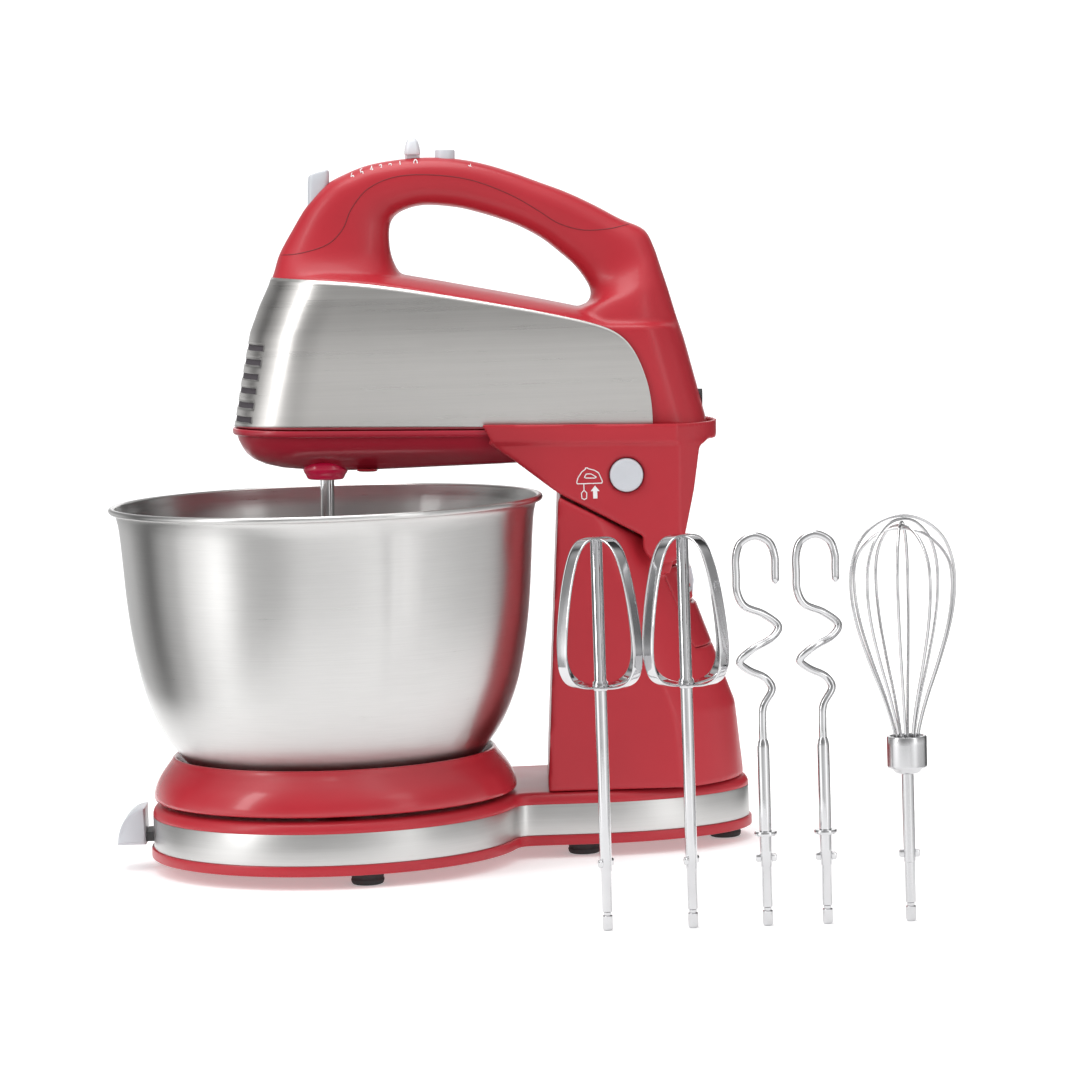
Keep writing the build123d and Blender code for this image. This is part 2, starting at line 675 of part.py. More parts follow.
def make_drive():
    """The motor, its worm shaft, and the two geared beater spindles."""
    field = block(
        FIELD_FRONT,
        FIELD_FRONT + FIELD_LENGTH,
        -FIELD_HALF,
        FIELD_HALF,
        MOTOR_Z - FIELD_HALF,
        MOTOR_Z + 25,
    )
    field -= rod_x(0, 200, 0, MOTOR_Z, CORE_RADIUS + 0.6)
    shaft = rod_x(-16, 150, 0, MOTOR_Z, SHAFT_RADIUS) + rod_x(-14, 14, 0, MOTOR_Z, WORM_RADIUS)
    core = rod_x(FIELD_FRONT + 2, FIELD_FRONT + FIELD_LENGTH - 2, 0, MOTOR_Z, CORE_RADIUS)
    core -= rod_x(0, 150, 0, MOTOR_Z, SHAFT_RADIUS)
    commutator = rod_x(114, 126, 0, MOTOR_Z, 9) - rod_x(0, 150, 0, MOTOR_Z, SHAFT_RADIUS)
    fan = rod_x(42, 44, 0, MOTOR_Z, 23) + rod_x(42, 52, 0, MOTOR_Z, 6)
    for blade in range(8):
        vane = block(43, 51, -0.8, 0.8, 5, 22)
        fan += Pos(0, 0, MOTOR_Z) * Rot(blade * 45, 0, 0) * vane
    fan -= rod_x(0, 150, 0, MOTOR_Z, SHAFT_RADIUS)
    frame = block(-20, 16, -33, 33, 10, 14) + block(16, 36, -14, 14, 10, 14)
    frame += block(32, 36, -20, 20, 10, 44)
    frame -= rod_x(31, 37, 0, MOTOR_Z, 6)
    bushes = {}
    for name, front in (("front_bush", 32), ("rear_bush", 140)):
        bush = rod_x(front, front + 4, 0, MOTOR_Z, 6)
        bushes[name] = bush - rod_x(front, front + 4, 0, MOTOR_Z, SHAFT_RADIUS + RUNNING_GAP)
    brushes = block(128, 131, -24, 24, MOTOR_Z - FIELD_HALF, 52) - rod_x(120, 140, 0, MOTOR_Z, 8)
    for side in (-1, 1):
        low, high = sorted((side * 9.6, side * 22))
        brushes += block(116, 129, low, high, MOTOR_Z - 4, MOTOR_Z + 4)
    gear_radius = SPINDLE_SPACING / 2 - WORM_RADIUS - GEAR_GAP
    gear_low = MOTOR_Z - GEAR_THICK / 2
    pieces = {
        "motor_field": field,
        "armature_shaft": shaft,
        "armature_core": core,
        "commutator": commutator,
        "cooling_fan": fan,
        "brush_holder": brushes,
        **bushes,
    }
    tail = TOOL_SHAFT + 0.08
    for name, y in spindles():
        frame -= post(0, y, 9, 15, SOCKET_RADIUS + RUNNING_GAP)
        gear = post(0, y, gear_low, gear_low + GEAR_THICK, gear_radius)
        gear -= post(0, y, 0, 60, TOOL_SHAFT)
        for tooth in range(24):
            turn = radians(tooth * 15)
            notch = post(gear_radius * cos(turn), y + gear_radius * sin(turn), 20, 40, 0.9)
            gear -= notch
        socket = post(0, y, -16, gear_low, SOCKET_RADIUS) - post(0, y, -17, gear_low, tail)
        socket -= post(0, y, -17, -10.6, 6.2)
        collar = Pos(0, y, 0) * turned([
            (6.2, -26), (9.4, -26), (COLLAR_RADIUS, -21), (COLLAR_RADIUS - 0.8, -17.5),
            (9.2, -16), (6.2, -16),
        ])
        pieces[f"{name}_gear"] = gear
        pieces[f"{name}_socket"] = socket
        pieces[f"{name}_collar"] = collar
    pieces["gear_frame"] = frame
    return pieces


def make_controls():
    """The eject button and its yoke, the speed lever with its switch, and the burst button."""
    eject = slab([(-9, 100), (3.2, 100), (3.2, 135.2), (-9, 132)], -EJECT_HALF, EJECT_HALF)
    eject += block(-5, 1, -4, 4, 46, 101)
    half = SPINDLE_SPACING / 2
    yoke = block(-4, 4, -half - 4, half + 4, 42, 46)
    for _, y in spindles():
        yoke += post(0, y, TAIL_SEAT + 0.4, 43, TOOL_SHAFT - 0.1)
    lever = slab([(41.7, 143.3), (50.3, 143.3), (49.6, LEVER_HEIGHT), (42.4, LEVER_HEIGHT)], -6.5, 6.5)
    stem = block(44, 48, -1.8, 1.8, 126, 144)
    lever += stem - rod_y(TRACK_X, TRACK_Z, -3, 3, TRACK_RADIUS)
    burst = post(BURST_X, 0, 130, 144.8, BURST_RADIUS)
    burst = fillet(burst.edges().sort_by(Axis.Z)[-1], 1.0)
    switch = block(34, 72, -8, 8, 118.8, 126)
    return {
        "eject_button": eject,
        "eject_yoke": yoke,
        "speed_lever": lever,
        "burst_button": burst,
        "speed_switch": switch,
    }


# ---------------------------------------------------------------- tools


def tool_tail():
    """The driven end of a tool: its shaft's tip, neck groove and ears, tip down."""
    tail = post(0, 0, 0, TAIL_LENGTH, TOOL_SHAFT)
    tail += post(0, 0, TAIL_LENGTH, EAR_HEIGHT + 4, UPPER_SHAFT)
    tail -= post(0, 0, 7.5, 9, 5) - post(0, 0, 7, 10, TOOL_SHAFT - 0.5)
    ears = block(-5, 5, -0.9, 0.9, EAR_HEIGHT - 2, EAR_HEIGHT + 2)
    return tail + ears


def beater():
    """A beater standing on its tail: two crossed loops of strip on a shaft."""
    low = TOOL_LENGTH - LOOP_HEIGHT
    rows = [(4.5, 0.0), (0.82 * LOOP_RADIUS, 7), (LOOP_RADIUS, 20), (0.9 * LOOP_RADIUS, 38)]
    rows += [(0.68 * LOOP_RADIUS, 55), (0.46 * LOOP_RADIUS, 66), (0.2 * LOOP_RADIUS, LOOP_HEIGHT)]
    right = [(r, low + h) for r, h in rows]
    left = [(-r, z) for r, z in right[::-1]]
    inner_right = [(r - STRIP_THICK, z) for r, z in right[1:-1]]
    inner_right = [(3.2, low + 1.4)] + inner_right + [(3.2, TOOL_LENGTH - STRIP_THICK)]
    inner_left = [(-r, z) for r, z in inner_right[::-1]]
    wide = STRIP_WIDTH / 2
    outer = curved_slab(
        [(True, right), (False, [right[-1], left[0]]), (True, left), (False, [left[-1], right[0]])],
        -wide,
        wide,
    )
    inner = curved_slab(
        [
            (True, inner_right),
            (False, [inner_right[-1], inner_left[0]]),
            (True, inner_left),
            (False, [inner_left[-1], inner_right[0]]),
        ],
        -wide - 1,
        wide + 1,
    )
    loop = outer - inner
    shaft = post(0, 0, EAR_HEIGHT + 3, TOOL_LENGTH - STRIP_THICK / 2, UPPER_SHAFT)
    return tool_tail() + shaft + loop + Rot(0, 0, 90) * loop


def dough_hook():
    """A dough hook standing on its tail: one wire wound to and fro, with a small disc."""
    route = [
        (0, 0, 86), (0, 0, 103), (5.2, 4.0, 113), (-10.8, -3.0, 124), (9.0, 5.0, 138),
        (-10.8, -1.0, 153.5), (-10.8, 0, 183), (7.8, 0, 183), (7.8, 0, 160),
    ]
    path = FilletPolyline(*route, radius=3.6)
    wire = sweep(Pos(0, 0, 86) * Circle(HOOK_WIRE), path)
    shaft = post(0, 0, EAR_HEIGHT + 3, 87, UPPER_SHAFT)
    disc = post(0, 0, 42.4, 44.8, 5.3)
    return tool_tail() + shaft + disc + wire


def whisk_collar():
    """The balloon whisk's shaft and the hollow collar that holds its wires."""
    collar = Cone(6.5, 9.35, 6, align=(Align.CENTER, Align.CENTER, Align.MIN))
    collar = Pos(0, 0, 69.7) * collar + post(0, 0, 75.7, COLLAR_TOP, 9.35)
    collar -= post(0, 0, WIRE_SEAT, COLLAR_TOP + 1, 7.6)
    shaft = post(0, 0, EAR_HEIGHT + 3, 71, UPPER_SHAFT)
    return tool_tail() + shaft + collar


def whisk_wires():
    """The balloon whisk's wires: closed bows turned evenly about the shaft."""
    wires = []
    for turn in range(WHISK_LOOPS):
        drop = turn * 3 * WHISK_WIRE
        top = WHISK_HEIGHT - WHISK_WIRE - drop
        right = [(5.2, WIRE_SEAT), (5.2, 92), (WHISK_RADIUS - 5, 130), (WHISK_RADIUS, 152)]
        right += [(WHISK_RADIUS - 1, 172 - drop), (WHISK_RADIUS - 12, top)]
        left = [(-r, z) for r, z in right[::-1]]
        path = FilletPolyline(*[(r, 0, z) for r, z in right + left], radius=9)
        wire = sweep(Pos(5.2, 0, WIRE_SEAT) * Circle(WHISK_WIRE), path)
        wires.append(Rot(0, 0, turn * 180 / WHISK_LOOPS) * wire)
    return Compound(wires)


def make_mounted_beaters():
    """The pair of beaters in the mixer, an eighth of a turn out of step."""
    pieces = {}
    for (name, y), turn in zip(spindles(), (0, 45)):
        pieces[f"{name}_beater"] = Pos(0, y, TAIL_SEAT) * Rot(180, 0, turn) * beater()
    return pieces


def make_loose_tools():
    """The loose tools, standing on their tails in a row in front of the stand."""
    kinds = [
        ("loose_beater_left", beater, 45),
        ("loose_beater_right", beater, 45),
        ("dough_hook_left", dough_hook, 0),
        ("dough_hook_right", dough_hook, 0),
        ("whisk_collar", whisk_collar, 0),
    ]
    pieces = {}
    for (name, make, turn), x in zip(kinds, TOOL_ROW_X):
        pieces[name] = Pos(x, TOOL_ROW_Y, 0) * Rot(0, 0, turn) * make()
    pieces["whisk_wires"] = Pos(TOOL_ROW_X[-1], TOOL_ROW_Y, 0) * whisk_wires()
    return pieces


def make_all():
    """Every piece by name, with the origin at the middle of the set's underside."""
    head = {**make_housing(), **make_drive(), **make_controls(), **make_mounted_beaters()}
    pieces = {**make_base(), **make_turntable(), **make_column(), **make_cradle()}
    pieces.update({name: on_head(piece) for name, piece in head.items()})
    pieces.update(make_loose_tools())
    boxes = [piece.bounding_box() for piece in pieces.values()]
    middle_x = (min(b.min.X for b in boxes) + max(b.max.X for b in boxes)) / 2
    middle_y = (min(b.min.Y for b in boxes) + max(b.max.Y for b in boxes)) / 2
    shift = Pos(-middle_x, -middle_y, 0)
    return {name: shift * piece for name, piece in pieces.items()}, (middle_x, middle_y)


PIECES, BOWL_AXIS_SHIFT = make_all()
os.makedirs("parts", exist_ok=True)
for node, piece in PIECES.items():
    export_step(piece, f"parts/{node}.step")
print(len(PIECES), "nodes; the bowl's axis stands at", [-value for value in BOWL_AXIS_SHIFT])
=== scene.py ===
"""The looks of a hand mixer on its tilting stand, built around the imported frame."""

import json
import logging
from dataclasses import dataclass, field
from enum import Enum

import bmesh
import bpy
import numpy as np
from mathutils import Matrix, Vector
from mathutils.bvhtree import BVHTree


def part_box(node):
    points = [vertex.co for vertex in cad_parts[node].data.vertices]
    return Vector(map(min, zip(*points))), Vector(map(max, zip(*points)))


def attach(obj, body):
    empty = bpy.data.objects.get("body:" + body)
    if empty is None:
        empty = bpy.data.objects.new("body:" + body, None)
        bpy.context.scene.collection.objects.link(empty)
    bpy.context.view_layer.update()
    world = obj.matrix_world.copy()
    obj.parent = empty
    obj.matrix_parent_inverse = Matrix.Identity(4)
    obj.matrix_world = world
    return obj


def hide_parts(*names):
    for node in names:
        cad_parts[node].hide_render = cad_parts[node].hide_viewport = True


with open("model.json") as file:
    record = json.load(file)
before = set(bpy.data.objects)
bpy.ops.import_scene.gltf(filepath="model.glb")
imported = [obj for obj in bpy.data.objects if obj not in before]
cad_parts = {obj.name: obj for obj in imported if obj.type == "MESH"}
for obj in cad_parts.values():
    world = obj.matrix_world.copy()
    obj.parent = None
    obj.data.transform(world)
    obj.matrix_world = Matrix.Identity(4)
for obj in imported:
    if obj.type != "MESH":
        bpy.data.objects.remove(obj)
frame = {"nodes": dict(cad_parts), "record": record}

LOG = logging.getLogger("mixer")
MM = 0.001
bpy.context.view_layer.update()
Profile = list[tuple[float, float]]


class Brush(Enum):
    """Which way the fine lines of a brushed sheet run."""

    ROUND_Z = "round the upright axis"
    ALONG_X = "along the mixer"
    OUTLINE = "along the base's edge"


# ---------------------------------------------------------------- places


@dataclass(frozen=True)
class Places:
    """The frame's own places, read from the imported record's joints.

    Attributes:
        bowl: A point on the bowl's axis at the floor, in metres.
        head: The origin of the mixer's own frame, in metres.
        back: The unit vector along the mixer, towards its heel.
        up: The unit vector up through the mixer.
    """

    bowl: np.ndarray
    head: np.ndarray
    back: np.ndarray
    up: np.ndarray

    @staticmethod
    def read(record: dict) -> "Places":
        """Reads the places from the record's joints.

        Args:
            record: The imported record.

        Returns:
            The places.
        """
        joints = {row["name"]: row for row in record["behaviour"]["joints"]}
        bowl = np.array(joints["bowl_spin"]["pos_m"], float)
        bowl[2] = 0.0
        near = np.array(joints["near_drive"]["pos_m"], float)
        far = np.array(joints["far_drive"]["pos_m"], float)
        up = np.array(joints["near_drive"]["axis"], float)
        up /= np.linalg.norm(up)
        back = np.cross([0.0, 1.0, 0.0], up)
        return Places(bowl, (near + far) / 2, back / np.linalg.norm(back), up)

    def stand(self, points: np.ndarray) -> np.ndarray:
        """Turns millimetres from the bowl's axis into metres of the frame."""
        return np.asarray(points, float) * MM + self.bowl

    def mixer(self, points: np.ndarray) -> np.ndarray:
        """Turns millimetres of the mixer's own frame into metres of the frame."""
        points = np.asarray(points, float) * MM
        side = np.array([0.0, 1.0, 0.0])
        along = points[..., :1] * self.back + points[..., 1:2] * side
        return self.head + along + points[..., 2:] * self.up


PLACES = Places.read(frame["record"])
HEAD_Y = float(PLACES.head[1] - PLACES.bowl[1]) / MM


# ---------------------------------------------------------------- shader maths


class Sock:
    """An output socket whose operators add Math nodes."""

    def __init__(self, sheet: "Nodes", socket: bpy.types.NodeSocket) -> None:
        """Keeps the nodes and the socket."""
        self.sheet = sheet
        self.socket = socket

    def _math(self, kind: str, *values: object) -> "Sock":
        """Adds a Math node of one kind on the given values."""
        return self.sheet.node("ShaderNodeMath", {"operation": kind}, list(values))

    def __add__(self, other: object) -> "Sock":
        """Adds the other to this."""
        return self._math("ADD", self, other)

    def __radd__(self, other: object) -> "Sock":
        """Adds this to the other."""
        return self._math("ADD", other, self)

    def __sub__(self, other: object) -> "Sock":
        """Takes the other from this."""
        return self._math("SUBTRACT", self, other)

    def __rsub__(self, other: object) -> "Sock":
        """Takes this from the other."""
        return self._math("SUBTRACT", other, self)

    def __mul__(self, other: object) -> "Sock":
        """Multiplies by the other."""
        return self._math("MULTIPLY", self, other)

    def __rmul__(self, other: object) -> "Sock":
        """Multiplies the other by this."""
        return self._math("MULTIPLY", other, self)

    def __truediv__(self, other: object) -> "Sock":
        """Divides by the other."""
        return self._math("DIVIDE", self, other)

    def hypot(self, other: "Sock") -> "Sock":
        """Gives the length of the vector that this value and the other make."""
        return self._math("SQRT", self * self + other * other)


class Nodes:
    """A node tree."""

    def __init__(self, tree: bpy.types.NodeTree) -> None:
        """Keeps the tree."""
        self.tree = tree

    def node(self, kind: str, settings: dict, values: object, out: int | str = 0) -> Sock:
        """Adds a node.

        Args:
            kind: The node's type.
            settings: Its settings, set first; "stops" fills a colour ramp.
            values: The values or links of its sockets, by order or by name.
            out: Which output to give back.

        Returns:
            The chosen output.
        """
        node = self.tree.nodes.new(kind)
        for key, value in settings.items():
            if key == "stops":
                ramp = node.color_ramp
                for index, (place, colour) in enumerate(value):
                    stop = ramp.elements[index] if index < 2 else ramp.elements.new(place)
                    stop.position = place
                    stop.color = colour
            else:
                setattr(node, key, value)
        pairs = enumerate(values) if isinstance(values, list) else values.items()
        for key, value in pairs:
            if isinstance(value, Sock):
                self.tree.links.new(value.socket, node.inputs[key])
            else:
                node.inputs[key].default_value = value
        return Sock(self, node.outputs[out])

    def ramp(self, share: Sock, greys: Profile) -> Sock:
        """Turns a share into greys by a table of (place, grey)."""
        stops = [(place, (grey, grey, grey, 1.0)) for place, grey in greys]
        return self.node("ShaderNodeValToRGB", {"stops": stops}, [share])


class Sheet(Nodes):
    """A material's node tree."""

    def __init__(self, name: str) -> None:
        """Makes an empty material with one Principled shader."""
        self.material = bpy.data.materials.new(name)
        self.material.use_nodes = True
        super().__init__(self.material.node_tree)
        self.tree.nodes.clear()
        self.shader = self.tree.nodes.new("ShaderNodeBsdfPrincipled")
        output = self.tree.nodes.new("ShaderNodeOutputMaterial")
        self.tree.links.new(self.shader.outputs[0], output.inputs["Surface"])

    def place(self) -> Sock:
        """Gives the piece's Object coordinates."""
        return self.node("ShaderNodeTexCoord", {}, {}, "Object")

    def noise(self, where: Sock, scale: float, detail: float = 3.0) -> Sock:
        """Gives a noise of a scale at a place."""
        values = {"Vector": where, "Scale": scale, "Detail": detail}
        return self.node("ShaderNodeTexNoise", {}, values, 0)

    def stretched(self, where: Sock, factors: tuple[float, float, float]) -> Sock:
        """Scales a place by one factor for each axis."""
        return self.node("ShaderNodeMapping", {}, {"Vector": where, "Scale": factors})

    def blend(self, share: Sock, low: tuple, high: tuple) -> Sock:
        """Mixes two colours by a share."""
        stops = [(0.0, (*low, 1.0)), (1.0, (*high, 1.0))]
        return self.node("ShaderNodeValToRGB", {"stops": stops}, [share])

    def bump(self, height: Sock, strength: float, distance: float) -> Sock:
        """Gives a normal from a height."""
        values = {"Height": height, "Strength": strength, "Distance": distance}
        return self.node("ShaderNodeBump", {}, values)

    def set(self, **values: object) -> None:
        """Sets or links the shader's sockets, with _ for a space in a name."""
        for key, value in values.items():
            socket = self.shader.inputs[key.replace("_", " ")]
            if isinstance(value, Sock):
                self.tree.links.new(value.socket, socket)
            elif isinstance(value, tuple) and len(value) == 3:
                socket.default_value = (*value, 1.0)
            else:
                socket.default_value = value


@dataclass(frozen=True)
class Moulded:
    """Moulded plastic: a coloured gloss with a faint ripple and handling haze."""

    name: str
    colour: tuple[float, float, float]
    roughness: float = 0.36
    coat: float = 0.08
    ripple: float = 0.05

    def make(self) -> bpy.types.Material:
        """Makes the material."""
        sheet = Sheet(self.name)
        where = sheet.place()
        haze = sheet.noise(where, 28.0, 4.0)
        grain = sheet.noise(where, 900.0, 2.0)
        darker = tuple(0.86 * part for part in self.colour)
        sheet.set(
            Base_Color=sheet.blend(haze, darker, self.colour),
            Roughness=haze * 0.10 + (self.roughness - 0.04),
            Coat_Weight=self.coat,
            Coat_Roughness=0.12,
            Specular_IOR_Level=0.32,
            Normal=sheet.bump(grain, self.ripple, 0.0004),
        )
        return sheet.material


@dataclass(frozen=True)
class Brushed:
    """Brushed stainless sheet: fine lines one way, in tone, roughness and height."""

    name: str
    way: Brush
    centre: tuple[float, float, float] = (0.0, 0.0, 0.0)
    colour: tuple[float, float, float] = (0.66, 0.655, 0.645)
    roughness: float = 0.30
    grain: float = 0.0
    relief: float = 0.10

    def make(self) -> bpy.types.Material:
        """Makes the material."""
        sheet = Sheet(self.name)
        where = sheet.place()
        if self.way is Brush.ROUND_Z:
            parts = [sheet.node("ShaderNodeSeparateXYZ", {}, [where], axis) for axis in range(3)]
            radius = (parts[0] - self.centre[0]).hypot(parts[1] - self.centre[1])
            lines = sheet.node("ShaderNodeCombineXYZ", {}, [radius * 6.0, 0.0, parts[2] * 1.0])
            fine = sheet.noise(sheet.stretched(lines, (1.0, 1.0, 1.0)), 1400.0, 2.0)
            wide = sheet.noise(where, 40.0, 3.0)
            streaks = sheet.noise(sheet.stretched(where, (1.0, 1.0, 30.0)), 60.0, 4.0)
        else:
            fine = sheet.noise(sheet.stretched(where, (0.012, 0.012, 1.0)), 2200.0, 1.0)
            wide = sheet.noise(where, 40.0, 3.0)
            streaks = sheet.noise(sheet.stretched(where, (0.012, 0.012, 1.0)), 420.0, 1.0)
        tone = fine * 0.35 + streaks * 0.45 + wide * 0.2
        darker = tuple(0.78 * part for part in self.colour)
        sheet.set(
            Base_Color=sheet.blend(tone, darker, self.colour),
            Metallic=1.0,
            Roughness=tone * 0.16 + (self.roughness - 0.05),
            Anisotropic=self.grain,
            Anisotropic_Rotation=0.25,
            Normal=sheet.bump(fine * 0.6 + streaks * 0.4, self.relief, 0.0003),
        )
        return sheet.material


@dataclass(frozen=True)
class Plated:
    """Bright plated steel with a faint unevenness."""

    name: str
    colour: tuple[float, float, float] = (0.62, 0.62, 0.63)
    roughness: float = 0.05

    def make(self) -> bpy.types.Material:
        """Makes the material."""
        sheet = Sheet(self.name)
        where = sheet.place()
        cloud = sheet.noise(where, 120.0, 3.0)
        fine = sheet.noise(sheet.stretched(where, (1.0, 1.0, 0.2)), 900.0, 2.0)
        darker = tuple(0.9 * part for part in self.colour)
        sheet.set(
            Base_Color=sheet.blend(cloud, darker, self.colour),
            Metallic=1.0,
            Roughness=cloud * 0.06 + self.roughness,
            Normal=sheet.bump(fine, 0.04, 0.0002),
        )
        return sheet.material


@dataclass(frozen=True)
class Matt:
    """A matt material, such as rubber, nylon, laminations or print."""

    name: str
    colour: tuple[float, float, float]
    roughness: float = 0.6
    metallic: float = 0.0

    def make(self) -> bpy.types.Material:
        """Makes the material."""
        sheet = Sheet(self.name)
        grain = sheet.noise(sheet.place(), 700.0, 3.0)
        darker = tuple(0.8 * part for part in self.colour)
        sheet.set(
            Base_Color=sheet.blend(grain, darker, self.colour),
            Metallic=self.metallic,
            Roughness=grain * 0.16 + (self.roughness - 0.08),
            Normal=sheet.bump(grain, 0.12, 0.0003),
        )
        return sheet.material


class Finishes:
    """Every finish, made once."""

    def __init__(self) -> None:
        """Makes the materials."""
        bowl = tuple(float(part) for part in PLACES.bowl)
        self.red = Moulded("red_gloss", (0.475, 0.024, 0.037)).make()
        self.table = Moulded("table_red", (0.475, 0.024, 0.037), 0.24, 0.35).make()
        self.tub = Moulded("tub_red", (0.46, 0.018, 0.040), 0.3, 0.2).make()
        self.panel = Moulded("panel_red", (0.425, 0.021, 0.033), 0.3).make()
        self.crimson = Moulded("collar_crimson", (0.75, 0.010, 0.075), 0.22, 0.4).make()
        self.bowl = Brushed("bowl_steel", Brush.ROUND_Z, bowl, roughness=0.27, grain=0.8).make()
        self.wrap = Brushed("wrap_steel", Brush.ALONG_X, colour=(0.68, 0.665, 0.645), roughness=0.26,
                            relief=0.04).make()
        self.band = Brushed("band_steel", Brush.OUTLINE, roughness=0.34).make()
        self.chrome = Plated("tool_chrome").make()
        self.cap = Plated("whisk_cap_steel", (0.6, 0.6, 0.61), 0.22).make()
        self.grey = Moulded("silver_grey", (0.62, 0.64, 0.68), 0.34, 0.2).make()
        self.clear = Moulded("milky_clear", (0.78, 0.80, 0.84), 0.18, 0.7).make()
        self.white = Matt("white_print", (0.86, 0.86, 0.86), 0.5).make()
        self.rubber = Matt("black_rubber", (0.035, 0.035, 0.037), 0.7).make()
        # Painted shade: a near-black finish for the sheet behind the vents, standing for the shadow inside
        # the housing.
        self.dark = Matt("vent_painted_shade", (0.07, 0.06, 0.07), 0.8).make()
        self.seam = Matt("seam_shadow", (0.20, 0.010, 0.016), 0.6).make()
        self.nylon = Matt("gear_nylon", (0.80, 0.79, 0.74), 0.5).make()
        self.black = Matt("frame_black", (0.05, 0.05, 0.052), 0.55).make()
        self.iron = Matt("laminations", (0.24, 0.24, 0.25), 0.5, 0.8).make()
        self.steel = Plated("turned_steel", (0.58, 0.58, 0.59), 0.25).make()
        self.copper = Plated("copper_bars", (0.75, 0.40, 0.24), 0.25).make()
        self.bronze = Plated("bush_bronze", (0.60, 0.44, 0.22), 0.35).make()


# ---------------------------------------------------------------- mesh tools


def spline(points: np.ndarray, count: int, closed: bool = False) -> np.ndarray:
    """Runs a smooth curve through points.

    Each span is a cubic whose end slopes are the chords between the neighbours
    on either side, with the spans spaced by their lengths.

    Args:
        points: The points, one a row.
        count: How many samples to give, evenly spaced along the chords.
        closed: Whether the curve returns to its first point.

    Returns:
        The samples, one a row.
    """
    points = np.asarray(points, float)
    if closed:
        points = np.vstack([points, points[:1]])
    steps = np.linalg.norm(np.diff(points, axis=0), axis=1)
    knots = np.concatenate([[0.0], np.cumsum(steps)])
    slopes = np.empty_like(points)
    slopes[1:-1] = (points[2:] - points[:-2]) / (knots[2:] - knots[:-2])[:, None]
    if closed:
        slopes[0] = (points[1] - points[-2]) / (steps[0] + steps[-1])
        slopes[-1] = slopes[0]
    else:
        slopes[0] = (points[1] - points[0]) / steps[0]
        slopes[-1] = (points[-1] - points[-2]) / steps[-1]
    at = np.linspace(0.0, knots[-1], count, endpoint=not closed)
    span = np.clip(np.searchsorted(knots, at, side="right") - 1, 0, len(steps) - 1)
    t = ((at - knots[span]) / steps[span])[:, None]
    h = steps[span][:, None]
    a, b = points[span], points[span + 1]
    start = (2 * t**3 - 3 * t**2 + 1) * a + (t**3 - 2 * t**2 + t) * h * slopes[span]
    return start + (3 * t**2 - 2 * t**3) * b + (t**3 - t**2) * h * slopes[span + 1]


def grid_faces(rows: int, cols: int, close_rows: bool, close_cols: bool) -> np.ndarray:
    """Gives the quads of a grid of points, wrapped round where it closes."""
    i = np.arange(rows if close_rows else rows - 1)
    j = np.arange(cols if close_cols else cols - 1)
    a, b = np.meshgrid(i, j, indexing="ij")
    c, d = (a + 1) % rows, (b + 1) % cols
    quads = np.stack([a * cols + b, c * cols + b, c * cols + d, a * cols + d], -1)
    return quads.reshape(-1, 4)


class Piece:
    """Collects surfaces and makes them one mesh object at the origin."""

    def __init__(self, name: str) -> None:
        """Starts an empty piece."""
        self.name = name
        self.points: list[np.ndarray] = []
        self.faces: list[list[int]] = []
        self.count = 0

    def grid(
        self,
        points: np.ndarray,
        close_rows: bool = False,
        close_cols: bool = False,
        caps: bool = False,
        keep: np.ndarray | None = None,
    ) -> "Piece":
        """Adds a grid surface.

        Args:
            points: An array of rows, columns and x, y, z, in metres.
            close_rows: Whether the last row joins the first.
            close_cols: Whether the last column joins the first.
            caps: Whether the first and last rows are closed with a flat face.
            keep: Which cells to keep, where the surface has openings.

        Returns:
            This piece.
        """
        rows, cols = points.shape[:2]
        quads = grid_faces(rows, cols, close_rows, close_cols)
        if keep is not None:
            quads = quads[keep.reshape(-1)]
        self.faces += (quads + self.count).tolist()
        if caps:
            first = np.arange(cols) + self.count
            last = first[::-1] + (rows - 1) * cols
            self.faces += [first.tolist(), last.tolist()]
        self.points.append(points.reshape(-1, 3))
        self.count += rows * cols
        return self

    def turned(self, profile: np.ndarray, at: tuple[float, float], segments: int = 96) -> "Piece":
        """Adds a profile of (radius, z) millimetres turned about an upright axis.

        Args:
            profile: The profile, open or closed by its own points.
            at: The axis's x and y in millimetres from the bowl's axis.
            segments: How many steps round.

        Returns:
            This piece.
        """
        return self.grid(PLACES.stand(ring(profile, at, segments)), close_cols=True)

    def build(
        self,
        body: str,
        finish: bpy.types.Material,
        nodes: tuple[str, ...] = (),
        smooth_angle: float = 40.0,
        weld: float = 1e-5,
    ) -> bpy.types.Object:
        """Makes the object, with its normals outwards, and rides it on a body.

        Args:
            body: The body it moves with.
            finish: Its material.
            nodes: The frame's nodes that it stands for.
            smooth_angle: Edges sharper than this stay sharp, in degrees.
            weld: How near two points are one, in metres.

        Returns:
            The object.
        """
        mesh = bpy.data.meshes.new(self.name)
        mesh.from_pydata(np.vstack(self.points).tolist(), [], self.faces)
        piece = bpy.data.objects.new(self.name, mesh)
        bpy.context.collection.objects.link(piece)
        tidy_mesh(mesh, weld)
        return dress(piece, body, finish, nodes, smooth_angle)


def tidy_mesh(mesh: bpy.types.Mesh, weld: float) -> None:
    """Merges doubles, drops what has no area and turns the faces outwards."""
    work = bmesh.new()
    work.from_mesh(mesh)
    bmesh.ops.remove_doubles(work, verts=work.verts, dist=weld)
    bmesh.ops.dissolve_degenerate(work, edges=work.edges, dist=weld / 4)
    bmesh.ops.recalc_face_normals(work, faces=work.faces)
    work.to_mesh(mesh)
    work.free()


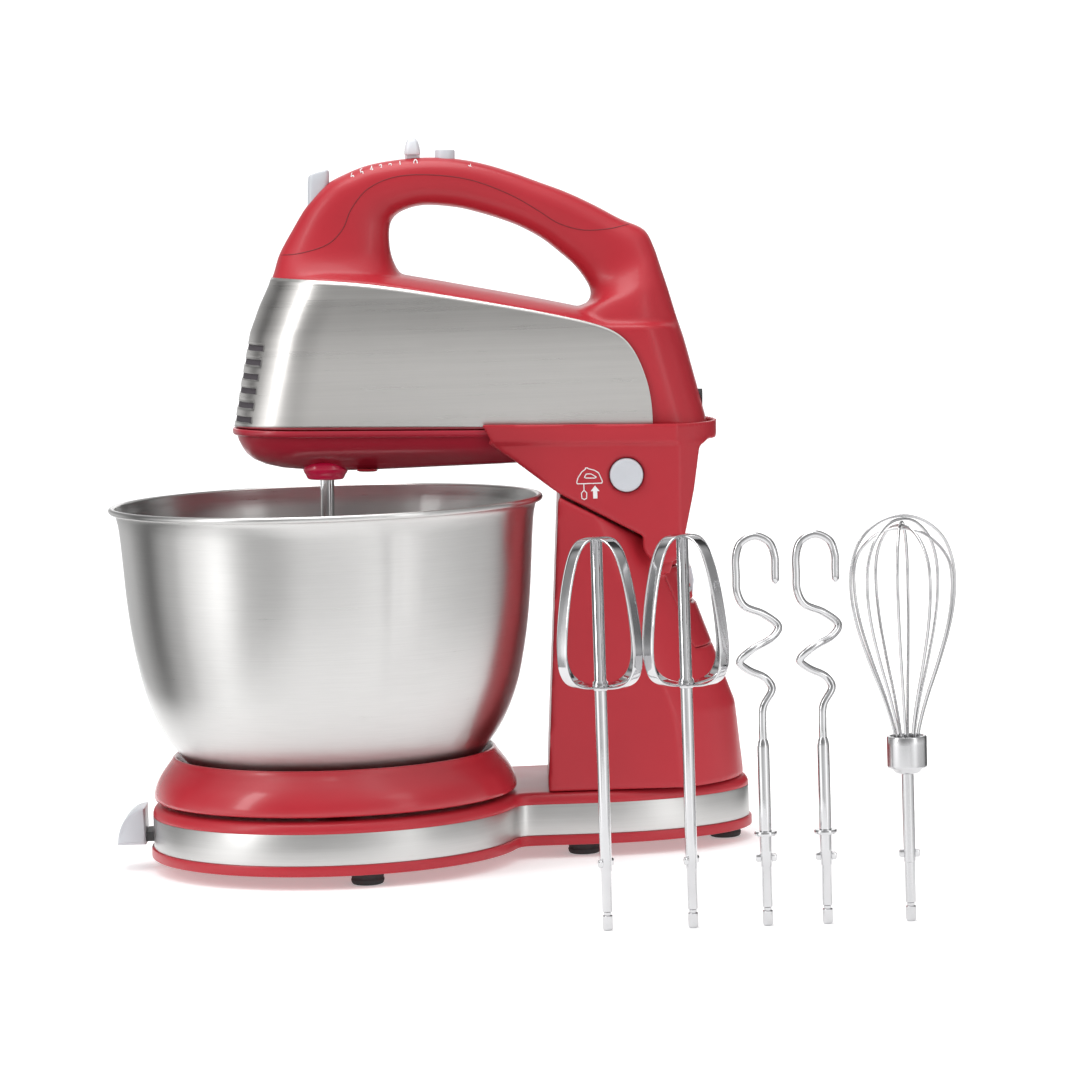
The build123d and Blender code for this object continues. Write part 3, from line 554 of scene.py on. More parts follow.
def dress(
    piece: bpy.types.Object,
    body: str,
    finish: bpy.types.Material,
    nodes: tuple[str, ...] = (),
    smooth_angle: float = 40.0,
) -> bpy.types.Object:
    """Gives a piece its finish, its body and the nodes that it stands for."""
    mesh = piece.data
    mesh.materials.clear()
    mesh.materials.append(finish)
    mesh.shade_smooth()
    mesh.set_sharp_from_angle(angle=np.radians(smooth_angle))
    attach(piece, body)
    if nodes:
        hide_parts(*nodes)
    LOG.info("%s: %d faces on %s", piece.name, len(mesh.polygons), body)
    return piece


def ring(profile: np.ndarray, at: tuple[float, float], segments: int) -> np.ndarray:
    """Turns a (radius, z) profile about an upright axis into a grid of points."""
    profile = np.asarray(profile, float)
    angle = np.linspace(0.0, 2 * np.pi, segments, endpoint=False)
    x = at[0] + profile[:, :1] * np.cos(angle)
    y = at[1] + profile[:, :1] * np.sin(angle)
    z = np.repeat(profile[:, 1:], segments, axis=1)
    return np.stack([x, y, z], -1)


def tube(path: np.ndarray, radius: object, side: np.ndarray, segments: int = 14) -> np.ndarray:
    """Carries a circle along a path.

    Args:
        path: The path's points.
        radius: One radius, or one for each point of the path.
        side: A vector that is never along the path.
        segments: How many steps round.

    Returns:
        A grid of points, one row for each point of the path.
    """
    return strip(path, np.ones(len(path)) * radius, np.ones(len(path)) * radius, side, segments, 2.0)


def strip(
    path: np.ndarray,
    thick: np.ndarray,
    wide: np.ndarray,
    side: np.ndarray,
    segments: int,
    power: float,
) -> np.ndarray:
    """Carries a rounded-off rectangle along a path.

    Args:
        path: The path's points.
        thick: The half thickness at each point, across the path and the side.
        wide: The half width at each point, along the side.
        side: A vector that is never along the path.
        segments: How many steps round.
        power: The section's power: 2 is an ellipse, and more is squarer.

    Returns:
        A grid of points, one row for each point of the path.
    """
    slope = np.gradient(path, axis=0)
    slope /= np.linalg.norm(slope, axis=1)[:, None]
    across = side - (slope @ side)[:, None] * slope
    across /= np.linalg.norm(across, axis=1)[:, None]
    out = np.cross(across, slope)
    c, s = rounded(segments, power)
    first = (np.asarray(thick)[:, None] * c)[..., None] * out[:, None, :]
    second = (np.asarray(wide)[:, None] * s)[..., None] * across[:, None, :]
    return path[:, None, :] + first + second


def rounded(segments: int, power: float) -> tuple[np.ndarray, np.ndarray]:
    """Gives a unit superellipse: |x|^power + |y|^power is 1."""
    angle = np.linspace(0.0, 2 * np.pi, segments, endpoint=False) + np.pi / segments
    c, s = np.cos(angle), np.sin(angle)
    return np.sign(c) * np.abs(c) ** (2 / power), np.sign(s) * np.abs(s) ** (2 / power)


def shaded_copy(
    name: str,
    nodes: tuple[str, ...],
    body: str,
    finish: bpy.types.Material,
    voxel: float,
    rounds: int,
) -> bpy.types.Object:
    """Rounds a moulded node's edges: a merged copy, evenly remeshed, then relaxed.

    Args:
        name: The piece's name.
        nodes: The frame's nodes to copy and stand for.
        body: The body it moves with.
        finish: Its material.
        voxel: The mesh size in metres.
        rounds: How many times each point moves towards its neighbours' middle.

    Returns:
        The object.
    """
    work = bmesh.new()
    for node in nodes:
        work.from_mesh(frame["nodes"][node].data)
    bmesh.ops.remove_doubles(work, verts=work.verts, dist=2e-6)
    mesh = bpy.data.meshes.new(name)
    work.to_mesh(mesh)
    work.free()
    piece = bpy.data.objects.new(name, mesh)
    bpy.context.collection.objects.link(piece)
    relax(piece, voxel, rounds)
    return dress(piece, body, finish, nodes, 50.0)


def relax(piece: bpy.types.Object, voxel: float, rounds: int) -> None:
    """Remeshes a piece in even cells and evens out its points, in place."""
    even = piece.modifiers.new("even", "REMESH")
    even.mode = "VOXEL"
    even.voxel_size = voxel
    even.adaptivity = 0.0
    calm = piece.modifiers.new("calm", "SMOOTH")
    calm.factor = 0.5
    calm.iterations = rounds
    bpy.context.view_layer.update()
    shape = bpy.data.meshes.new_from_object(
        piece.evaluated_get(bpy.context.evaluated_depsgraph_get())
    )
    piece.modifiers.clear()
    piece.data = shape


# ---------------------------------------------------------------- mixer


@dataclass
class MixerForm:
    """The mixer's outer form, in millimetres of its own frame.

    Attributes:
        half: Half its width.
        nose_reach: How far the nose's curve runs back.
        heel_reach: How far the heel's curve runs forward.
        nose: The nose's place at each height.
        heel: The heel's place at each height.
        steel_top: The steel wrap's upper edge, as (along, height).
    """

    half: float = 44.0
    nose_reach: float = 41.0
    heel_reach: float = 24.0
    nose: Profile = field(default_factory=lambda: [
        (0, -47.8), (25, -43.6), (50, -38.9), (64, -33.8), (74, -29.2), (84, -25.8),
    ])
    heel: Profile = field(default_factory=lambda: [
        (0, 200.2), (3, 199.6), (44.7, 188.3), (76.4, 177.8), (90, 173.0),
    ])
    steel_top: Profile = field(default_factory=lambda: [
        (-48.0, 78.0), (-31.0, 78.8), (-13.6, 78.4), (15.6, 76.6), (41.1, 73.5), (83.9, 66.5),
        (118.3, 60.1), (143.7, 53.9), (154.0, 48.6), (161.0, 40.2), (166.8, 26.3),
        (169.3, 14.3), (170.2, 1.2),
    ])

    def top(self, along: np.ndarray) -> np.ndarray:
        """Gives the height of the steel's upper edge along the mixer."""
        table = spline(np.array(self.steel_top), 500)
        return np.interp(along, table[:, 0], table[:, 1])

    def half_at(self, height: np.ndarray) -> np.ndarray:
        """Gives the half width at a height: fullest low down, turned in towards the deck."""
        rise = np.clip((height - 30.0) / 52.0, 0.0, 1.0)
        sag = np.clip((30.0 - height) / 30.0, 0.0, 1.0)
        return self.half - 7.0 * rise**2.2 - 0.9 * sag**2

    def side_point(self, way: np.ndarray, height: np.ndarray, grow: float) -> np.ndarray:
        """Gives a point of the outer wall.

        Args:
            way: -1 at the near end, through 0 at the nose's tip, to 1 at the far
                end of the straight side; beyond 1, round the heel to 2.
            height: The point's height.
            grow: How far outside the wall the point stands.

        Returns:
            The points.
        """
        nose = np.interp(height, *np.array(self.nose).T) - grow
        heel = np.interp(height, *np.array(self.heel).T) + grow
        half = self.half_at(height) + grow
        share = np.abs(way)
        turn = np.clip(share / 0.35, 0.0, 1.0) * np.pi / 2
        reach = self.nose_reach
        along = nose + reach * (1 - np.cos(turn) ** (2 / 2.15))
        run = np.clip((share - 0.35) / 0.65, 0.0, 1.0)
        along = along + run * (heel - self.heel_reach - nose - reach)
        round_heel = np.clip(share - 1.0, 0.0, 1.0) * np.pi / 2
        along = along + self.heel_reach * np.sin(round_heel) ** (2 / 2.3)
        across = half * np.sin(turn) ** (2 / 2.15) * np.cos(round_heel) ** (2 / 2.3)
        return np.stack([along, np.sign(way) * across, height], -1)


@dataclass
class Mixer:
    """The mixer's housing, in millimetres of its own frame."""

    finishes: Finishes
    form: MixerForm = field(default_factory=MixerForm)
    steel: float = 0.8
    crown: float = 5.4
    vent_top: float = 42.5
    vent_pitch: float = 7.4
    vent_height: float = 2.9
    vents: int = 6
    vent_half: float = 30.0
    rim: float = 78.4
    handle_power: float = 2.7
    loop: list[tuple[float, float, float, float, float]] = field(default_factory=lambda: [
        (-34.0, 60.0, 52.0, 63.0, 35.0), (-29.4, 73.5, 46.0, 75.0, 33.0),
        (-26.6, 82.0, 39.5, 80.0, 27.0), (-23.9, 90.8, 35.2, 88.0, 21.5),
        (-17.2, 103.0, 33.6, 97.5, 18.6), (-9.5, 115.5, 34.2, 106.5, 17.2),
        (0.5, 126.6, 38.0, 111.5, 16.4), (10.5, 132.2, 44.0, 114.3, 16.0),
        (22.8, 136.9, 50.0, 115.7, 15.6), (38.6, 139.7, 56.0, 115.9, 15.3),
        (54.4, 140.8, 62.5, 115.4, 15.2), (70.2, 139.8, 71.0, 114.3, 15.2),
        (84.0, 137.1, 79.0, 112.3, 15.2), (98.0, 132.8, 89.5, 109.2, 15.2),
        (112.0, 127.7, 101.3, 104.8, 15.2), (126.0, 122.5, 113.0, 98.5, 15.3),
        (141.0, 115.5, 122.0, 91.5, 15.6), (155.0, 108.0, 130.5, 84.0, 16.4),
        (167.2, 102.4, 136.8, 75.5, 18.0), (172.2, 93.0, 139.0, 69.5, 21.0),
        (175.4, 83.5, 136.5, 64.0, 26.5), (178.6, 74.0, 128.0, 60.0, 32.0),
        (183.5, 58.0, 118.0, 48.0, 37.0), (187.3, 46.0, 112.0, 36.0, 40.0), (190.6, 35.0, 112.0, 24.0, 41.0),
    ])
    seam: Profile = field(default_factory=lambda: [
        (-22.6, 90.4), (-11.7, 91.6), (2.3, 96.2), (9.9, 103.8), (14.5, 114.3), (23.1, 124.6),
        (37.2, 130.7), (56.2, 131.7), (77.1, 128.8), (98.0, 120.8), (111.6, 112.9),
        (122.1, 106.3), (134.4, 102.8), (148.2, 103.3), (159.0, 105.6),
    ])

    def hull(self) -> np.ndarray:
        """The body under the steel: upright walls, then a crowned deck.

        The walls rise from the flange to the steel's edge at each place along the
        mixer. The deck's rings shrink towards the middle line while they rise by
        the crown, as 1 minus the ring's share to the power 2.6.

        Returns:
            A grid of points, one row for each ring.
        """
        way = np.concatenate([np.linspace(0, 1.0, 70), np.linspace(1.03, 2.0, 24)])
        ways = np.concatenate([way, -way[-2:0:-1]])
        edge = self.form.side_point(ways, np.full(ways.shape, 60.0), 0.0)
        along = edge[:, 0]
        reach = np.maximum(self.form.top(np.minimum(along, 145.0)), 48.0)
        rings = []
        for share in np.linspace(0.0, 1.0, 22):
            inset = -0.35 - 0.6 * np.clip((168.0 - along) / 8.0, 0.0, 1.0)
            rings.append(self.form.side_point(ways, 0.4 + share * (reach - 0.4), inset))
        edge = rings[-1]
        spine = np.clip(edge[:, 0], 5.0, 150.0)
        for share in np.linspace(0.96, 0.04, 16):
            lift = self.crown * (1 - share**2.6)
            x = spine + (edge[:, 0] - spine) * share
            rings.append(np.stack([x, edge[:, 1] * share, edge[:, 2] + lift], -1))
        return np.array(rings)

    def handle(self) -> np.ndarray:
        """The handle's loop: rounded sections between its outer and inner lines."""
        rows = spline(np.array(self.loop), 150)
        outer, inner, wide = rows[:, 0:2], rows[:, 2:4], rows[:, 4]
        middle = (outer + inner) / 2
        reach = (outer - inner) / 2
        c, s = rounded(56, self.handle_power)
        points = np.empty((len(rows), len(c), 3))
        points[..., 0] = middle[:, :1] + reach[:, :1] * c
        points[..., 1] = wide[:, None] * s
        points[..., 2] = middle[:, 1:] + reach[:, 1:] * c
        return points

    def make_body(self) -> bpy.types.Object:
        """Makes the red housing: deck and handle grown together as one moulding."""
        piece = Piece("mixer_body")
        piece.grid(PLACES.mixer(self.hull()), close_cols=True, caps=True)
        piece.grid(PLACES.mixer(self.handle()), close_cols=True, caps=True)
        mesh = bpy.data.meshes.new(piece.name)
        mesh.from_pydata(np.vstack(piece.points).tolist(), [], piece.faces)
        body = bpy.data.objects.new(piece.name, mesh)
        bpy.context.collection.objects.link(body)
        tidy_mesh(mesh, 1e-6)
        relax(body, 1.2 * MM, 12)
        return dress(body, "mixer", self.finishes.red, ("body_housing", "handle_cover"), 60.0)

    def make_seam(self, body: bpy.types.Object) -> None:
        """Lays the joint line between the handle's cover and the body on both sides."""
        line = spline(np.array(self.seam), 160)
        for name, side in (("near", -1.0), ("far", 1.0)):
            path = np.stack([line[:, 0], np.full(len(line), side * 26.0), line[:, 1]], -1)
            grid = tube(path, 0.28, np.array([0.0, 1.0, 0.0]), 8)
            piece = Piece(f"cover_seam_{name}")
            piece.grid(PLACES.mixer(grid), close_cols=True, caps=True)
            seam = piece.build("mixer", self.finishes.seam, (), 60.0)
            lay_on(seam, body, Vector((0.0, -side, 0.0)), -0.08 * MM)

    def make_wrap(self) -> None:
        """Makes the steel wrap, with its vents cut through, and a near-black sheet behind them that paints
        the shade inside the housing.

        Each column of the sheet rises to the steel's edge in the same shares of its
        own height, so the edge is one smooth line. Along the side the columns stand
        evenly along that edge. The far half mirrors the near one.
        """
        grow = self.steel
        cuts = [self.vent_top - self.vent_pitch * row for row in range(self.vents)]
        levels = [1.0]
        for middle in sorted(cuts):
            levels += [middle - self.vent_height / 2, middle + self.vent_height / 2]
        level = np.unique(np.concatenate([levels, np.linspace(1.0, self.rim, 36)]))[:, None] / self.rim
        bow = np.linspace(0.0, 0.35, 44)
        rim = self.form.top(self.form.side_point(bow, np.full(bow.shape, 78.0), grow)[:, 0])
        front = self.form.side_point(np.tile(bow, (len(level), 1)), np.maximum(level * rim, 1.0), grow)
        edge = spline(np.array(self.form.steel_top), 500)
        edge = edge[edge[:, 0] > front[-1, -1, 0] + 0.5]
        run = np.concatenate([[0.0], np.cumsum(np.hypot(*np.diff(edge, axis=0).T))])
        pick = np.linspace(0.0, run[-1], 170)
        along, rim = np.interp(pick, run, edge[:, 0]), np.interp(pick, run, edge[:, 1])
        height = np.maximum(level * rim, 1.0)
        share = (along - along[0]) / (along[-1] - along[0])
        lean = (front[:, -1:, 0] - front[-1, -1, 0]) * (1.0 - share)
        side = np.stack([along + lean, self.form.half_at(height) + grow, height], -1)
        half = np.concatenate([front, side], axis=1)
        points = np.concatenate([half[:, :0:-1] * np.array([1.0, -1.0, 1.0]), half], axis=1)
        middle_z = self.rim * (level[1:, 0] + level[:-1, 0]) / 2
        middle_y = (points[0, 1:, 1] + points[0, :-1, 1]) / 2
        hit = (np.abs(middle_z[:, None] - np.array(cuts)) < self.vent_height / 2).any(axis=1)
        open_cell = hit[:, None] & (np.abs(middle_y) < self.vent_half)[None, :]
        piece = Piece("steel_wrap_sheet")
        piece.grid(PLACES.mixer(points), keep=~open_cell)
        wrap = piece.build("mixer", self.finishes.wrap, ("steel_wrap",), 35.0)
        solid = wrap.modifiers.new("sheet", "SOLIDIFY")
        solid.thickness = self.steel * MM
        solid.offset = -1.0
        solid.use_quality_normals = True
        # Painted shade: a thin near-black sheet just outside the body, seen only through the vents, stands
        # for the shadow inside the housing.
        near_nose = np.linspace(-0.33, 0.33, 81)
        shadow_heights = np.linspace(2.0, self.vent_top + 3.0, 12)
        back = self.form.side_point(
            np.tile(near_nose, (12, 1)), np.tile(shadow_heights[:, None], (1, len(near_nose))), 0.35
        )
        shadow_piece = Piece("vent_shadow_sheet").grid(PLACES.mixer(back))
        shade = shadow_piece.build("mixer", self.finishes.dark)
        thick = shade.modifiers.new("sheet", "SOLIDIFY")
        thick.thickness = 0.3 * MM
        thick.offset = -1.0

    def make_tub(self) -> None:
        """Makes the lower tub: a flange, then walls that draw in to a shallow keel."""
        rows = [
            (0.35, -45.8, 198.0, 42.2), (0.35, -48.2, 201.2, 45.3), (0.0, -49.0, 201.8, 45.9),
            (-0.8, -49.2, 202.0, 46.0), (-2.3, -49.2, 202.0, 46.0), (-3.0, -48.6, 201.3, 45.4),
            (-3.1, -47.0, 194.2, 43.6), (-6.0, -46.2, 192.4, 43.0), (-10.0, -44.2, 189.2, 41.8),
            (-13.0, -42.2, 187.0, 40.4), (-16.0, -38.6, 184.6, 38.4), (-18.5, -33.0, 182.6, 35.6),
            (-20.3, -25.5, 180.0, 31.5), (-21.4, -16.0, 177.0, 26.0), (-22.0, -4.0, 170.0, 18.0),
            (-22.2, 20.0, 140.0, 6.0),
        ]
        angle = np.linspace(0.0, 2 * np.pi, 180, endpoint=False)
        c, s = np.cos(angle), np.sin(angle)
        table = np.array(rows)
        height, nose, heel, half = (table[:, col : col + 1] for col in range(4))
        power = 2 / 2.3
        unit_c, unit_s = np.sign(c) * np.abs(c) ** power, np.sign(s) * np.abs(s) ** power
        reach = np.minimum(42.0, (heel - nose) / 2.2)
        front = nose + reach * (1 + unit_c)
        rear = heel - 26.0 * np.minimum(1.0, reach / 30.0) * (1 - unit_c)
        x = np.where(c < 0, front, rear)
        y = half * unit_s
        lift = 1 - 0.0019 * np.clip(x - 10, 0, None) * (height < -3.05)
        hollow = np.exp(-((x / 14.0) ** 2)) * np.clip((-12.0 - height) / 6.0, 0.0, 1.0)
        points = np.stack([x, y * (1 - 0.26 * hollow), height * lift], -1)
        piece = Piece("lower_tub_shell")
        piece.grid(PLACES.mixer(points), close_cols=True, caps=True)
        piece.build("mixer", self.finishes.tub, ("lower_tub",), 50.0)
        for index, side in enumerate((-28.0, 28.0)):
            bore = np.array([(1.2, -21.0), (3.4, -21.2), (4.4, -21.9), (5.2, -21.6), (5.6, -20.4)])
            grid = ring(bore, (22.0, side), 32)
            boss = Piece(f"tub_screw_recess_{index}")
            boss.grid(PLACES.mixer(grid + [0.0, 0.0, 0.3]), close_cols=True, caps=True)
            boss.build("mixer", self.finishes.panel, (), 50.0)

    def make_marks(self, body: bpy.types.Object) -> None:
        """Prints the speed numbers and the burst button's mark beside the track."""
        centre, radius = np.array([54.3, 47.3]), 93.8
        labels = ["6", "5", "4", "3", "2", "1", "0"]
        places = [14.5, 19.5, 24.5, 29.5, 34.5, 39.5, 47.5]
        labels.append("+")
        places.append(76.0)
        for index, (label, place) in enumerate(zip(labels, places)):
            turn = np.arcsin((place - centre[0]) / radius)
            size = 5.2 if label == "0" else 4.6
            curve = bpy.data.curves.new(f"speed_mark_{index}", "FONT")
            curve.body = label
            curve.size = size * MM
            curve.align_x = "CENTER"
            curve.align_y = "CENTER"
            curve.resolution_u = 3
            holder = bpy.data.objects.new("mark", curve)
            bpy.context.collection.objects.link(holder)
            bpy.context.view_layer.update()
            mesh = bpy.data.meshes.new_from_object(holder)
            bpy.data.objects.remove(holder)
            spot = centre + radius * np.array([np.sin(turn), np.cos(turn)])
            place_at = PLACES.mixer(np.array([spot[0], -11.6, spot[1] + 14.0]))
            slant = Matrix.Rotation(turn, 4, "Y") @ Matrix.Rotation(np.radians(38.0), 4, "X")
            mesh.transform(Matrix.Translation(Vector(place_at)) @ slant)
            mark = bpy.data.objects.new(f"speed_mark_{index}", mesh)
            bpy.context.collection.objects.link(mark)
            split = bmesh.new()
            split.from_mesh(mesh)
            bmesh.ops.triangulate(split, faces=split.faces)
            bmesh.ops.subdivide_edges(split, edges=split.edges, cuts=1)
            split.to_mesh(mesh)
            split.free()
            dress(mark, "mixer", self.finishes.white)
            lay_on(mark, body, Vector((0.0, 0.0, -1.0)), 0.10 * MM)
            thick = mark.modifiers.new("ink", "SOLIDIFY")
            thick.thickness = 0.12 * MM


def lay_on(piece: bpy.types.Object, target: bpy.types.Object, way: Vector, gap: float) -> None:
    """Moves a piece's points along one way until they lie on a target, in place.

    Args:
        piece: The thin piece to lay down.
        target: What it lies on.
        way: The way its points move.
        gap: How far above the target they stop, in metres.
    """
    surface = target.data
    work = bmesh.new()
    work.from_mesh(surface)
    tree = BVHTree.FromBMesh(work)
    work.free()
    mesh = piece.data
    flat = np.empty(len(mesh.vertices) * 3)
    mesh.vertices.foreach_get("co", flat)
    points = flat.reshape(-1, 3)
    axis = np.array(way)
    depth = points @ axis
    base = depth - np.median(depth) if np.ptp(depth) < 3 * MM else np.zeros(len(points))
    hits = [tree.ray_cast(Vector(point - axis * 0.05), way)[0] for point in points]
    landed = np.array([hit if hit is not None else point for hit, point in zip(hits, points)])
    mesh.vertices.foreach_set("co", (landed + (base - gap)[:, None] * axis).ravel())
    mesh.update()


@dataclass
class Controls:
    """The eject post, speed lever, burst button and collars, in the mixer's frame."""

    finishes: Finishes

    def column(self, rows: list[tuple[float, float, float, float, float]], power: float) -> np.ndarray:
        """Stacks rounded rectangles of (along, height, half length, half width, slant)."""
        table = np.array(rows)
        c, s = rounded(44, power)
        x = table[:, 0:1] + table[:, 2:3] * c
        y = table[:, 3:4] * s
        z = table[:, 1:2] + table[:, 4:5] * c
        return np.stack([x, y, z], -1)

    def make(self) -> None:
        """Makes the controls."""
        post = [
            (-3.6, 100.0, 5.6, 6.4, 0.0), (-3.2, 128.0, 5.6, 6.3, 0.0),
            (-2.95, 131.8, 5.5, 6.2, 1.0), (-2.95, 132.9, 5.1, 5.8, 1.3), (-2.95, 133.4, 4.3, 5.0, 1.3),
            (-2.95, 133.5, 0.2, 0.2, 0.0),
        ]
        piece = Piece("eject_post").grid(PLACES.mixer(self.column(post, 3.6)), close_cols=True, caps=True)
        piece.build("eject", self.finishes.grey, ("eject_button",), 35.0)
        tab = [
            (46.0, 128.6, 3.6, 1.7, 0.0), (46.0, 142.1, 3.9, 1.7, 0.0), (46.0, 142.4, 4.2, 6.0, 0.0),
            (46.0, 143.2, 4.3, 6.4, 0.0), (46.0, 146.0, 3.9, 6.3, 0.0), (46.0, 148.8, 3.2, 5.8, 0.0),
            (46.0, 150.2, 2.4, 5.0, 0.0), (46.0, 150.85, 1.3, 3.8, 0.0), (46.0, 151.0, 0.1, 0.4, 0.0),
        ]
        piece = Piece("speed_tab").grid(PLACES.mixer(self.column(tab, 3.0)), close_cols=True, caps=True)
        piece.build("speed", self.finishes.clear, ("speed_lever",), 50.0)
        profile = np.array([
            (0.05, 144.1), (3.4, 144.1), (4.2, 144.7), (4.9, 144.6), (5.2, 144.1), (5.2, 131.0),
            (0.05, 131.0),
        ])
        grid = ring(profile, (63.0, 0.0), 48)
        piece = Piece("burst_cap").grid(PLACES.mixer(grid), close_cols=True, caps=True)
        piece.build("burst", self.finishes.grey, ("burst_button",), 35.0)
        for name, side in (("near", -20.0), ("far", 20.0)):
            collar = spline(np.array([
                (6.2, -16.0), (9.0, -16.4), (10.9, -17.6), (11.7, -20.0), (11.5, -21.8), (10.2, -24.0),
                (9.6, -25.4), (8.8, -26.0), (6.6, -25.9), (6.2, -25.0),
            ]), 40)
            grid = ring(collar, (0.0, side), 56)
            piece = Piece(f"{name}_collar_moulding")
            piece.grid(PLACES.mixer(grid), close_rows=True, close_cols=True)
            piece.build(f"{name}_spindle", self.finishes.crimson, (f"{name}_collar",), 50.0)


# ---------------------------------------------------------------- stand


@dataclass
class Stand:
    """The base, turntable, bowl, column and cradle, in millimetres from the bowl's axis."""

    finishes: Finishes
    radius: float = 95.0
    near: float = -14.0
    far: float = 102.0
    turn: float = 130.0
    rear: float = 86.0
    waist: float = 16.0

    def outline(self, count: int = 360) -> np.ndarray:
        """The base's edge: a circle, a straight far side, a half ellipse and a waist.

        Returns:
            Evenly spaced points, with the waist eased by averaging over its radius.
        """
        middle = (self.near + self.far) / 2
        half = (self.far - self.near) / 2
        low = np.arcsin(self.near / self.radius)
        arc = np.linspace(np.pi / 2, 2 * np.pi + low, 300)
        circle = np.stack([self.radius * np.cos(arc), self.radius * np.sin(arc)], -1)
        bend = np.linspace(-np.pi / 2, np.pi / 2, 160)
        block = np.stack([self.turn + self.rear * np.cos(bend), middle + half * np.sin(bend)], -1)
        edge = np.vstack([circle, block, circle[:1]])
        steps = np.concatenate([[0], np.cumsum(np.linalg.norm(np.diff(edge, axis=0), axis=1))])
        at = np.linspace(0, steps[-1], 4 * count, endpoint=False)
        even = np.stack([np.interp(at, steps, edge[:, axis]) for axis in (0, 1)], -1)
        corner = np.array([self.radius * np.cos(low), self.near])
        share = np.exp(-(np.linalg.norm(even - corner, axis=1) / (1.5 * self.waist)) ** 2)[:, None]
        reach = int(self.waist / (steps[-1] / len(even)))
        kernel = np.hanning(2 * reach + 1)
        kernel /= kernel.sum()
        padded = np.vstack([even[-reach:], even, even[:reach]])
        eased = np.stack([np.convolve(padded[:, axis], kernel, "valid") for axis in (0, 1)], -1)
        return (even * (1 - share) + eased * share)[::4]

    def edge(self, profile: Profile) -> np.ndarray:
        """Carries a profile of (outwards, height) round the base's edge."""
        line = self.outline()
        slope = np.roll(line, -1, axis=0) - np.roll(line, 1, axis=0)
        slope /= np.linalg.norm(slope, axis=1)[:, None]
        out = np.stack([slope[:, 1], -slope[:, 0]], -1)
        table = np.array(profile)
        flat = line[None] + table[:, :1, None] * out[None]
        height = np.repeat(table[:, 1:, None], len(line), axis=1)
        return np.concatenate([flat, height], -1)

    def make_base(self) -> None:
        """Makes the bottom plate, the steel band and the shell above it."""
        plate = [
            (-5.0, 6.8), (0.7, 6.8), (1.15, 7.1), (1.3, 7.7), (1.3, 11.2), (1.1, 11.8), (0.6, 12.0),
            (-3.0, 12.0),
        ]
        piece = Piece("bottom_trim").grid(PLACES.stand(self.edge(plate)), close_cols=True, caps=True)
        piece.build("stand", self.finishes.red, ("base_plate",), 35.0)
        band = [(-1.1, 12.05), (-0.15, 12.05), (0.0, 12.25), (0.0, 27.7), (-0.15, 27.95), (-1.1, 27.95)]
        piece = Piece("steel_band")
        piece.grid(PLACES.stand(self.edge(band)), close_rows=True, close_cols=True)
        piece.build("stand", self.finishes.band, ("base_band",), 35.0)
        shell = [
            (-2.0, 28.0), (-0.2, 28.0), (0.0, 28.5), (-0.1, 29.8), (-0.6, 31.4), (-1.7, 32.8),
            (-3.3, 33.7), (-5.5, 34.0),
        ]
        piece = Piece("base_top").grid(PLACES.stand(self.edge(shell)), close_cols=True, caps=True)
        piece.build("stand", self.finishes.red, ("base_shell",), 35.0)

    def make_turntable(self) -> None:
        """Makes the turntable's bulging ring and the bowl that stands in it."""
        ring_line = spline(np.array([
            (91.0, 36.0), (93.2, 36.4), (94.0, 38.0), (93.1, 42.5), (90.8, 47.6), (87.2, 52.8),
            (84.6, 56.2), (83.4, 58.1), (82.6, 58.5), (81.9, 58.0),
        ]), 44)
        under = [(81.4, 56.8), (70.0, 45.0), (58.0, 41.6), (2.0, 41.5), (0.05, 41.5)]
        bottom = [(0.05, 37.0), (88.0, 37.0), (91.0, 36.0)]
        profile = np.vstack([ring_line, under, bottom])
        Piece("turntable_ring").turned(profile, (0, 0), 160).build(
            "bowl_turntable", self.finishes.table, ("turntable",), 40.0
        )
        wall = spline(np.array([
            (50.0, 42.05), (57.0, 42.7), (64.0, 45.4), (71.5, 50.6), (80.0, 60.0), (86.5, 69.0),
            (91.9, 79.5), (96.4, 92.0), (99.6, 106.0), (102.0, 120.0), (103.8, 135.0),
            (105.0, 150.0), (106.0, 165.0), (107.2, 178.0), (108.3, 183.0),
        ]), 110)
        lip = np.array([(109.3, 185.4)])
        slope = np.gradient(wall, axis=0)
        slope /= np.linalg.norm(slope, axis=1)[:, None]
        inside = wall + 0.9 * np.stack([-slope[:, 1], slope[:, 0]], -1)
        bead = np.linspace(-2.2, 3.3, 18)
        roll = np.stack([110.5 + 1.6 * np.cos(bead), 186.85 + 1.6 * np.sin(bead)], -1)
        profile = np.vstack([[(0.05, 42.0)], wall, lip, roll, inside[::-1], [(0.05, 42.9)]])
        Piece("steel_bowl").turned(profile, (0, 0), 192).build(
            "bowl_turntable", self.finishes.bowl, ("mixing_bowl",), 50.0
        )

    def make_knob(self) -> None:
        """Makes the shift knob: a quarter round with softened ends."""
        turn = np.linspace(0.0, np.pi / 2, 22)
        arc = np.stack([-98.7 - 14.6 * np.cos(turn), 13.4 + 19.3 * np.sin(turn)], -1)
        line = np.vstack([[(-98.7, 13.4)], arc, [(-98.7, 32.7)]])
        middle = line.mean(axis=0)
        rows = []
        for place, share in (
            (-13.0, 0.02), (-13.0, 0.82), (-12.6, 0.92), (-11.6, 0.985), (-10.4, 1.0),
            (10.4, 1.0), (11.6, 0.985), (12.6, 0.92), (13.0, 0.82), (13.0, 0.02),
        ):
            scaled = middle + (line - middle) * share
            rows.append(np.stack([scaled[:, 0], np.full(len(line), place), scaled[:, 1]], -1))
        piece = Piece("shift_grip").grid(PLACES.stand(np.array(rows)), close_cols=True, caps=True)
        piece.build("shift_carriage", self.finishes.grey, ("shift_knob",), 35.0)

